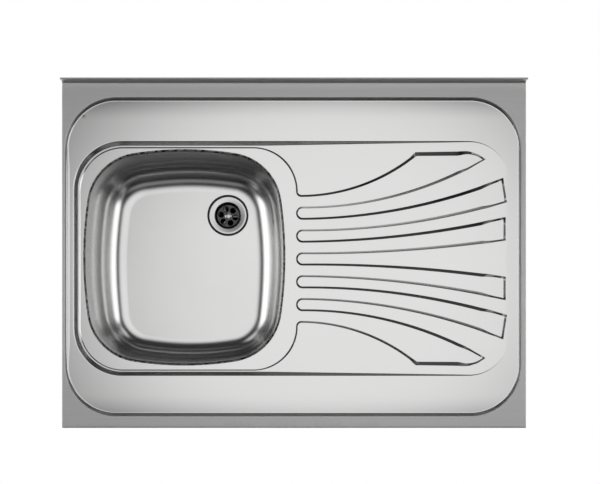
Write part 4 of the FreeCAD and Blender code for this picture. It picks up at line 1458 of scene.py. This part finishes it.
    def channel_brim(self, plan: np.ndarray) -> np.ndarray:
        """How far the channels' upper edge lies outside: half its wall's run, or all of it at a tip.

        Args:
            plan: Points in plan.

        Returns:
            A distance for each.
        """
        slope = self.channel_step.run / self.channel_step.rise
        run = slope * self.spread_at(plan) * (self.tray_at(plan) - self.levels.surround)
        return run * (0.5 + 0.5 * self.tip_share(plan))

    def build(self, body: str) -> None:
        """Builds the deck: the edges, then each flat and each step from the rim inwards.

        Args:
            body: The body that the deck rides on.
        """
        skin = Skin("pressed_deck")
        levels = self.levels
        border = self.edges(skin)
        outer, inner = press_step(skin, self.deck_outline.outline(), self.deck_step,
                                  level(self.deck_step.run), level(levels.rim), self.deck_at,
                                  lambda plan: 1 + self.left_spread * self.left_share(plan),
                                  lambda plan: 1 + self.left_bend * self.left_share(plan))
        columns, rows = self.inner_grid(self.spacing)
        skin.fill(border, [outer], flat(levels.rim), (columns, rows))
        tray_outer, tray_inner = press_step(skin, self.tray_outline.outline(), self.tray_step,
                                            level(self.tray_brim), self.deck_at, self.tray_at)
        skin.fill(inner, [tray_outer], raised(self.deck_at), self.inner_grid(self.deck_spacing))
        outer, inner = press_step(skin, self.drainer.outline(), self.channel_step, self.channel_brim,
                                  self.tray_at, levels.channel_at, self.spread_at)
        creases = np.concatenate([even(columns[0], self.crease_start, self.tray_spacing),
                                  levels.tray_end + np.array(self.creases)])
        skin.fill(tray_inner, [outer], raised(self.tray_at),
                  (creases, self.inner_grid(self.tray_spacing)[1]))
        channels = raised(levels.channel_at)
        flange = self.mouth.rings((self.bowl_flange, self.bowl_flange + self.guard), channels)
        skin.grid(flange)
        skin.fill(inner, [flange[1]], channels, (columns, rows))
        piece = skin.build((0, 0, 1), {"rim": self.rim_mark})
        add_wall(piece, SHEET, even_offset=False)
        dress(piece, self.finish.material(), Slot.STAINLESS, body, "deck_sheet")


@dataclass
class DrawnBowl:
    """The deep-drawn bowl with its flange, its rolled rim and the recess for the waste."""

    finish: SatinSteel
    mouth: BowlMouth = field(default_factory=BowlMouth)
    top: float = Levels.surround
    depth: float = 150.0
    flange: float = 0.8
    guard: float = 0.3
    rim_inset: float = -3.0
    section: StepProfile = StepProfile(8, 150, 3, 45, 6, 0.3, (7, 16))
    recess_radius: float = 38.2
    recess: StepProfile = StepProfile(0.5, 2.4, 0.5, 1.0, 4, 0.25, (4, 4))
    hole_radius: float = 26.0
    spacing: float = 12.0
    front_bend: float = 0.8
    weld_clear: float = 1.0
    weld_depth: float = 1.2

    def bend_at(self, plan: np.ndarray) -> np.ndarray:
        """How much larger the lower bend is: 1, but less towards the front."""
        share = (plan[:, 1] - self.mouth.y) / self.mouth.half_depth
        return 1 - (1 - self.front_bend) * np.clip(-share, 0, 1)**2

    def weld_mark(self, points: np.ndarray) -> np.ndarray:
        """1 on the flange, and down to 0 over the weld's depth below it."""
        high = self.top - self.weld_clear
        return ramp(points[:, 2], high - self.weld_depth, high)

    def build(self, body: str) -> None:
        """Builds the bowl: flange, rim, walls and bend as one step, then floor, recess and hole.

        Args:
            body: The body that the bowl rides on.
        """
        skin = Skin("drawn_bowl")
        mouth, floor = self.mouth, self.top - self.depth
        low = floor - self.recess.rise
        outer, inner = press_step(skin, mouth.outline(), self.section, level(self.rim_inset),
                                  level(self.top), level(floor), bend=self.bend_at)
        skin.grid(np.stack([*mouth.rings((self.flange, self.flange - self.guard), flat(self.top)), outer]))
        round_hole = Outline(tuple(Arc(*WASTE, self.recess_radius, 90 * k, 90 * k - 90)
                                   for k in range(4, 0, -1)))
        brim, well = press_step(skin, round_hole, self.recess, level(0), level(floor), level(low))
        grid = (even(mouth.x - mouth.half_width, mouth.x + mouth.half_width, self.spacing),
                even(mouth.y - mouth.half_depth, mouth.y + mouth.half_depth, self.spacing))
        skin.fill(inner, [brim], flat(floor), grid)
        skin.fill(well, [circle(*WASTE, self.hole_radius, len(well))[0]], flat(low), grid)
        piece = skin.build((0, 0, 1), {"weld": self.weld_mark})
        add_wall(piece, SHEET)
        dress(piece, self.finish.material(), Slot.STAINLESS, body, "bowl")


@dataclass
class StrainerWaste:
    """The strainer in the bowl's recess and the waste that is screwed to it from below.

    A section is a list of corners, each with its radius, its height over a base and its bend. The
    base is the seal's underside or the waste's top. The falls of boss and arms are below that top.
    """

    strainer_base: float = -134.15
    plate: float = 0.5
    flange_radius: float = 35.0
    roll: tuple[float, float] = (1.1, 0.95)
    roll_lift: float = 0.05
    dish: tuple[tuple[float, float], ...] = ((31.5, 0.75), (28.5, 0.3))
    cup_radius: float = 23.5
    lip: float = 2.1
    lip_fall: float = 0.1
    bend_turn: float = 85.0
    bend_points: int = 6
    plate_top: float = -143.15
    plate_radius: float = 20.1
    plate_bend: float = 1.0
    plate_reach: float = 22.0
    plate_spacing: float = 1.3
    holes: int = 6
    hole_radius: float = 4.7
    hole_bend: float = 1.3
    hole_circle: float = 13.6
    hole_angle: float = -11.5
    hole_points: int = 40
    screw_hole: float = 3.2
    cup_shade_edge: tuple[float, float] = (1.6, 0.8)
    seal_depth: float = 1.0
    seal_section: tuple[tuple[float, float, float], ...] = (
        (26.3, 0, 0.3), (37.6, 0, 0.3), (37.6, 1.7, 0.7), (35.3, 1.7, 0.4), (35.3, 1, 0.1), (26.3, 1, 0.3))
    waste_top: float = -138.95
    waste_section: tuple[tuple[float, float, float], ...] = (
        (27, 0, 0.6), (39, 0, 0.8), (39, -4, 0.8), (30, -4, 1), (30, -14.5, 2), (23, -22, 2),
        (23, -50, 0.8), (19, -50, 0.6), (19, -22, 2), (27, -13, 2))
    outlet_radius: float = 23.9
    outlet_bore: float = 21.7
    thread_falls: tuple[float, float] = (48.0, 24.0)
    thread_spacing: float = 0.26
    thread_pitch: float = 2.31
    thread_depth: float = 1.2
    thread_fade: float = 1.5
    thread_crest: float = 0.7
    boss_radius: float = 8.0
    boss_bore: float = 3.25
    boss_edge: float = 0.5
    boss_points: int = 48
    boss_falls: tuple[float, float, float] = (5.5, 11.5, 19.5)
    insert_flats: float = 9.4
    arms: int = 3
    arm_half: float = 1.5
    arm_falls: tuple[float, float] = (19.0, 11.0)
    arm_bend: float = 0.5
    arm_reach: tuple[float, float] = (6.5, 23.0)
    seal_edge: float = 0.25
    screw_edge: float = 0.22
    insert_edge: float = 0.3
    steel: PolishedSteel = PolishedSteel("strainer_steel", WASTE, 0.62, 0.22)
    screw: PolishedSteel = PolishedSteel("screw_steel", WASTE, 0.60, 0.24)
    plastic: MouldedPlastic = MouldedPlastic("waste_plastic", (0.72, 0.72, 0.70), 0.42)
    rubber: MouldedPlastic = MouldedPlastic("seal_rubber", (0.035, 0.035, 0.037), 0.6, 0.02)
    brass: PlatedSteel = PlatedSteel("turned_brass", (0.72, 0.52, 0.24))

    def strainer(self, body: str) -> None:
        """Builds the strainer: a dished flange and a tapered cup as one turned skin, and a plate.

        The edge of a hole turns down round a quarter circle. With the hole's radius r and the
        bend's radius b it lies at r + b(1 - sin t), and b(1 - cos t) below the plate.

        Args:
            body: The body that it rides on.
        """
        skin = Skin("strainer")
        base, lip, bend = self.strainer_base, self.lip, self.hole_bend
        turn = np.radians(np.linspace(0, self.bend_turn, self.bend_points))
        out, down = 1 - np.cos(turn), np.sin(turn)
        edge = np.column_stack([self.flange_radius - self.roll[0] * out,
                                base + self.roll_lift + self.roll[1] * down])
        mouth = np.column_stack([self.cup_radius + lip * (1 - down), base - self.lip_fall - lip * out])
        foot = np.column_stack([self.plate_radius + self.plate_bend * (1 - out),
                                self.plate_top + self.plate_bend * (1 - down)])
        path = np.concatenate([edge, np.array(self.dish) + [0, base], mouth, foot,
                               [[self.plate_radius, self.plate_top]]])
        rows = turned_rows(path, closed=False)
        skin.grid(rows)
        rings = []
        turn = np.linspace(0, math.pi / 2, self.bend_points)[:, None, None]
        spots = [(self.hole_circle, math.radians(self.hole_angle + 360 / self.holes * k), self.hole_radius)
                 for k in range(self.holes)]
        for reach, angle, radius in [*spots, (0.0, 0.0, self.screw_hole)]:
            points, normals = circle(WASTE[0] + reach * math.cos(angle), WASTE[1] + reach * math.sin(angle),
                                     radius, self.hole_points)
            plan = points + bend * (1 - np.sin(turn)) * normals
            height = self.plate_top - bend * (1 - np.cos(turn)) + 0 * plan[..., :1]
            skin.grid(np.concatenate([plan, height], -1))
            rings.append(plan[0])
        inner = even(-self.plate_reach, self.plate_reach, self.plate_spacing)
        skin.fill(rows[-1], rings, flat(self.plate_top), (WASTE[0] + inner, WASTE[1] + inner))
        # The cup and its plate are marked for a painted shade.
        piece = skin.build((0, 0, 1), {"stain": self.cup_shade_mark})
        add_wall(piece, self.plate)
        dress(piece, self.steel.material(), Slot.POLISHED, body, "strainer_flange")

    def cup_shade_mark(self, points: np.ndarray) -> np.ndarray:
        """1 inside the cup, which gets a painted shade, and 0 on the flange."""
        radius = np.linalg.norm(points[:, :2] - WASTE, axis=1)
        return ramp(radius - self.cup_radius, *self.cup_shade_edge)

    def seal(self, material: bpy.types.Material, body: str) -> None:
        """Builds the flange's seal: a flat ring with a bead that shows round the flange.

        Args:
            material: Its material.
            body: The body that it rides on.
        """
        skin = Skin("flange_seal_ring")
        skin.grid(turned_section(self.seal_section, self.strainer_base - self.seal_depth))
        dress(skin.build(), material, Slot.RUBBER, body, "flange_seal")

    def waste(self, body: str) -> None:
        """Builds the waste body: flange, cup, funnel and threaded outlet, turned round the axis.

        The thread's radius falls and rises by a cosine of the height over the pitch plus the turn.

        Args:
            body: The body that it rides on.
        """
        skin = Skin("waste_housing")
        skin.grid(turned_section(self.waste_section, self.waste_top))
        height = even(*(self.waste_top - fall for fall in self.thread_falls), self.thread_spacing)[:, None]
        around = np.linspace(0, 1, TURNED, endpoint=False)[None]
        fade = np.minimum(np.minimum(height - height[0], height[-1] - height) / self.thread_fade, 1)
        wave = 0.5 + 0.5 * np.cos(2 * math.pi * (height / self.thread_pitch + around))
        radius = self.outlet_radius - self.thread_depth * (1 - fade * wave ** self.thread_crest)
        angle = 2 * math.pi * around
        rows = np.stack([WASTE[0] + radius * np.cos(angle), WASTE[1] + radius * np.sin(angle),
                         np.broadcast_to(height, radius.shape)], -1)
        bore = np.array([[self.outlet_bore, height[-1, 0]], [self.outlet_bore, height[0, 0]]])
        skin.grid(np.concatenate([rows, turned_rows(bore, closed=False), rows[:1]]))
        self._boss(skin)
        self._arms(skin)
        dress(skin.build(), self.plastic.material(), Slot.PLASTIC, body, "waste_body")

    def _boss(self, skin: Skin) -> None:
        """Adds the boss that holds the insert: a tube with a bore and a hexagonal seat.

        Args:
            skin: The skin that gets the boss.
        """
        high, seat, low = (self.waste_top - fall for fall in self.boss_falls)
        rim, unit = circle(*WASTE, self.boss_radius, self.boss_points)
        hole = circle(*WASTE, self.boss_bore, self.boss_points)[0]
        hexagon = circle(*WASTE, self.insert_flats / math.sqrt(3), 6)[0]
        edge = rim - self.boss_edge * unit
        for wall in (((edge, high), (rim, high - self.boss_edge), (rim, low + self.boss_edge), (edge, low)),
                     ((hole, high), (hole, seat)), ((hexagon, seat), (hexagon, low))):
            skin.grid(np.stack([flat(height)(ring) for ring, height in wall]))
        for outer, inner, height in ((edge, hole, high), (hexagon, hole, seat), (edge, hexagon, low)):
            skin.fill(outer, [inner], flat(height))

    def _arms(self, skin: Skin) -> None:
        """Adds the arms from the boss to the funnel: a rounded section, carried straight outwards.

        Args:
            skin: The skin that gets the arms.
        """
        low, high = (self.waste_top - fall for fall in self.arm_falls)
        half = self.arm_half
        section = rounded_path([(-half, low), (half, low), (half, high), (-half, high)], [self.arm_bend] * 4)
        ends = np.array(self.arm_reach)[:, None, None]
        height = np.broadcast_to(section[None, :, 1:], (len(ends), len(section), 1))
        for k in range(self.arms):
            turn = math.radians(360 / self.arms * k)
            along = np.array([math.cos(turn), math.sin(turn)])
            across = np.array([-along[1], along[0]])
            plan = np.array(WASTE) + ends * along + section[None, :, :1] * across
            arm = np.concatenate([plan, height], -1)
            skin.grid(arm)
            for end in arm:
                skin.grid(np.stack([end, np.repeat(end.mean(0)[None], len(end), 0)]))

    def build(self, body: str, screw_body: str) -> None:
        """Builds the strainer, the waste, and the screw, insert and seals between them.

        Args:
            body: The body that all but the screw ride on.
            screw_body: The screw's own body.
        """
        self.strainer(body)
        self.waste(body)
        rubber = self.rubber.material()
        self.seal(rubber, body)
        dress(softened_copy("body_seal", self.seal_edge), rubber, Slot.RUBBER, body, "body_seal")
        dress(softened_copy("strainer_screw", self.screw_edge), self.screw.material(), Slot.POLISHED,
              screw_body, "strainer_screw")
        dress(softened_copy("brass_insert", self.insert_edge), self.brass.material(), Slot.BRASS, body,
              "brass_insert")


@dataclass
class Underside:
    """What is fixed below the deck: battens, brackets with their screws, pad and terminal."""

    long_battens: tuple[str, ...] = ("front_batten", "rear_batten")
    cross_battens: tuple[str, ...] = ("left_batten", "right_batten", "cross_batten", "drainer_batten")
    brackets: tuple[str, ...] = ("front_left", "front_right", "rear_left", "rear_right")
    fasteners: tuple[str, ...] = ("bracket_screws", "earth_screw", "earth_nut")
    batten_edge: float = 0.8
    bracket_edge: float = 0.3
    fine_edge: float = 0.2
    pad_edge: float = 0.8
    pad_segments: int = 3
    zinc: PlatedSteel = PlatedSteel("zinc_plate")
    lug: PolishedSteel = PolishedSteel("lug_steel", (120, 218), 0.58, 0.3)
    compound: EmbossedPad = EmbossedPad("damping_compound")

    def build(self, body: str) -> None:
        """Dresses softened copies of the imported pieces.

        Args:
            body: The body of all but the brackets, which have their own.
        """
        for battens, grain in ((self.long_battens, Grain.ALONG_X), (self.cross_battens, Grain.ALONG_Y)):
            timber = SawnTimber(f"timber_{grain.name.lower()}", grain).material()
            for node in battens:
                dress(softened_copy(node, self.batten_edge), timber, Slot.TIMBER, body, node)
        zinc = self.zinc.material()
        for name in self.brackets:
            node = f"{name}_bracket"
            dress(softened_copy(node, self.bracket_edge), zinc, Slot.ZINC, node, node)
        for node in self.fasteners:
            dress(softened_copy(node, self.fine_edge), zinc, Slot.ZINC, body, node)
        dress(softened_copy("earth_lug", self.fine_edge), self.lug.material(), Slot.POLISHED, body,
              "earth_lug")
        dress(softened_copy("bowl_pad", self.pad_edge, self.pad_segments), self.compound.material(),
              Slot.PAD, body, "bowl_pad")


def flat_sheet(name: str, reach: Sequence[float], material: bpy.types.Material) -> bpy.types.Object:
    """A flat sheet of the studio that faces up, at the origin.

    Args:
        name: Its name.
        reach: Half its width and half its depth in metres.
        material: Its material.

    Returns:
        The sheet.
    """
    wide, deep = reach
    mesh = bpy.data.meshes.new(name)
    mesh.from_pydata([(-wide, -deep, 0), (wide, -deep, 0), (wide, deep, 0), (-wide, deep, 0)], [],
                     [(0, 1, 2, 3)])
    mesh.materials.append(material)
    return linked(name, mesh)


@dataclass(frozen=True)
class Panel:
    """A glowing panel, brightest in the middle and fading out to an ellipse.

    Args:
        name: Its name.
        place: Its middle in metres.
        facing: The direction that it shines in.
        reach: Half its width and half its height, where its glow ends.
        glow: Its glow in the middle.
        full: Share of the reach within which the glow is full.
    """

    name: str
    place: tuple[float, float, float]
    facing: tuple[float, float, float]
    reach: tuple[float, float]
    glow: float
    full: float

    def build(self) -> bpy.types.Object:
        """Builds the panel. The glow falls smoothly from the full share to the reach.

        Returns:
            The panel.
        """
        wide, high = self.reach
        tree = NodeTree(f"{self.name}_glow")
        x, y, _ = tree.parts(tree.place((1 / wide, 1 / high, 1)))
        fade = 1 - x.away(y).rise(self.full, 1.0)
        made = flat_sheet(self.name, self.reach, tree.glow(tree.grey(fade), self.glow))
        made.location = self.place
        made.rotation_euler = Vector(self.facing).to_track_quat("Z", "Y").to_euler()
        made.visible_camera = False
        made.visible_shadow = False
        return made


@dataclass
class Studio:
    """Pale floor and backdrop, glowing panels above and beside, and a camera above the sink.

    Lengths are in metres, apart from the lens's. The shade under the sink, the dark spot under its
    outlet and the end of the mirrored floor each lie between a pair of distances.
    """

    floor_height: float = -0.19
    floor_reach: float = 8.0
    shade: tuple[float, float] = (0.45, 0.95)
    shade_stretch: tuple[float, float] = (5.4, 10.5)
    shade_depth: float = 0.4
    outlet_shade: tuple[float, float] = (0.024, 0.036)
    mirrored_reach: tuple[float, float] = (0.8, 1.3)
    backdrop_radius: float = 9.0
    backdrop_glow: float = 0.92
    ambient: float = 0.03
    camera_place: tuple[float, float, float] = (0.0, -0.15, 2.032)
    lens: float = 69.6
    sensor: float = 36.0
    shift: tuple[float, float] = (0.010, 0.165)
    sight: float = 60.0
    panels: tuple[Panel, ...] = (
        Panel("overhead_panel", (0.15, 0.15, 3.0), (0, 0, -1), (1.8, 1.7), 1.14, 0.36),
        Panel("right_panel", (1.75, 0.0, 1.3), (-1, 0, -0.5), (1.0, 0.8), 1.75, 0.6),
        Panel("left_panel", (-1.75, 0.0, 1.3), (1, 0, -0.5), (1.0, 0.8), 1.75, 0.6),
        Panel("front_panel", (0.0, -1.45, 1.6), (0, 1, -0.9), (1.6, 0.45), 0.3, 0.5),
        Panel("rear_panel", (0.0, 2.6, 0.8), (0, -1, -0.25), (1.7, 0.75), 0.18, 0.5),
        Panel("low_front_panel", (0.0, -2.6, 0.8), (0, 1, -0.25), (1.7, 0.75), 0.05, 0.5),
        Panel("rear_left_panel", (-1.9, 1.9, 1.9), (1, -1, -0.9), (0.8, 0.8), 0.8, 0.5),
        Panel("rear_right_panel", (1.9, 1.9, 1.9), (-1, -1, -0.9), (0.8, 0.8), 0.8, 0.5),
        Panel("front_right_panel", (1.9, -1.9, 1.9), (-1, 1, -0.9), (0.8, 0.8), 0.45, 0.5),
        Panel("front_left_panel", (-1.9, -1.9, 1.9), (1, 1, -0.9), (0.8, 0.8), 0.25, 0.5),
    )

    def build(self) -> None:
        """Builds the studio. None of it belongs to the object."""
        self._floor(False)
        self._floor(True)
        self._backdrop()
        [panel.build() for panel in self.panels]
        self._surrounding()
        self._camera()
        bpy.context.scene.view_settings.view_transform = "Standard"

    def _floor(self, mirrored: bool) -> bpy.types.Object:
        """The pale floor. It glows evenly, but for the shade under the sink and its outlet.

        Args:
            mirrored: Whether this is the nearer part that the steel mirrors, or all that is seen.

        Returns:
            The floor.
        """
        name = "mirrored_floor" if mirrored else "studio_floor"
        tree = NodeTree(f"pale_{name}")
        x, y, _ = tree.parts(tree.place())
        lit = ((x * x * self.shade_stretch[0] + y * y * self.shade_stretch[1]) ** 0.5).rise(*self.shade)
        if mirrored:
            lit = lit * (1 - x.away(y).rise(*self.mirrored_reach))
        else:
            spot = (x - WASTE[0] * MM).away(y - WASTE[1] * MM).rise(*self.outlet_shade)
            lit = (1 - (1 - lit) * self.shade_depth) * spot
        made = flat_sheet(name, (self.floor_reach, self.floor_reach), tree.glow(tree.grey(lit), 1.0))
        made.location.z = self.floor_height
        made.visible_camera = made.visible_diffuse = not mirrored
        made.visible_glossy = mirrored
        return made

    def _backdrop(self) -> bpy.types.Object:
        """A pale dome that only the camera sees.

        Returns:
            The dome.
        """
        bpy.ops.mesh.primitive_uv_sphere_add(segments=48, ring_count=24, radius=self.backdrop_radius)
        made = bpy.context.object
        made.name = "studio_backdrop"
        made.data.materials.append(NodeTree("pale_backdrop").glow(WHITE, self.backdrop_glow))
        for kind in ("glossy", "diffuse", "transmission", "shadow", "volume_scatter"):
            setattr(made, f"visible_{kind}", False)
        return made

    def _surrounding(self) -> None:
        """A dim even surrounding."""
        world = bpy.data.worlds.new("studio_surrounding")
        world.use_nodes = True
        back = world.node_tree.nodes["Background"]
        back.inputs["Color"].default_value = WHITE
        back.inputs["Strength"].default_value = self.ambient
        bpy.context.scene.world = world

    def _camera(self) -> None:
        """The camera, which looks straight down from in front of the sink's middle."""
        lens = bpy.data.cameras.new("camera")
        lens.lens = self.lens
        lens.sensor_width = self.sensor
        lens.shift_x, lens.shift_y = self.shift
        lens.clip_end = self.sight
        made = linked("camera", lens)
        made.location = self.camera_place
        bpy.context.scene.camera = made


def main() -> None:
    """Builds the sink's pieces in order, then the studio."""
    logging.basicConfig(level=logging.INFO, format="%(name)s: %(message)s")
    PressedDeck(SatinSteel("satin_deck")).build("sink")
    DrawnBowl(SatinSteel("satin_bowl", smooth=0.21, ripple=0.3, patchy=0.12)).build("sink")
    StrainerWaste().build("sink", "strainer_screw")
    Underside().build("sink")
    Studio().build()


if __name__ == "__main__":
    main()
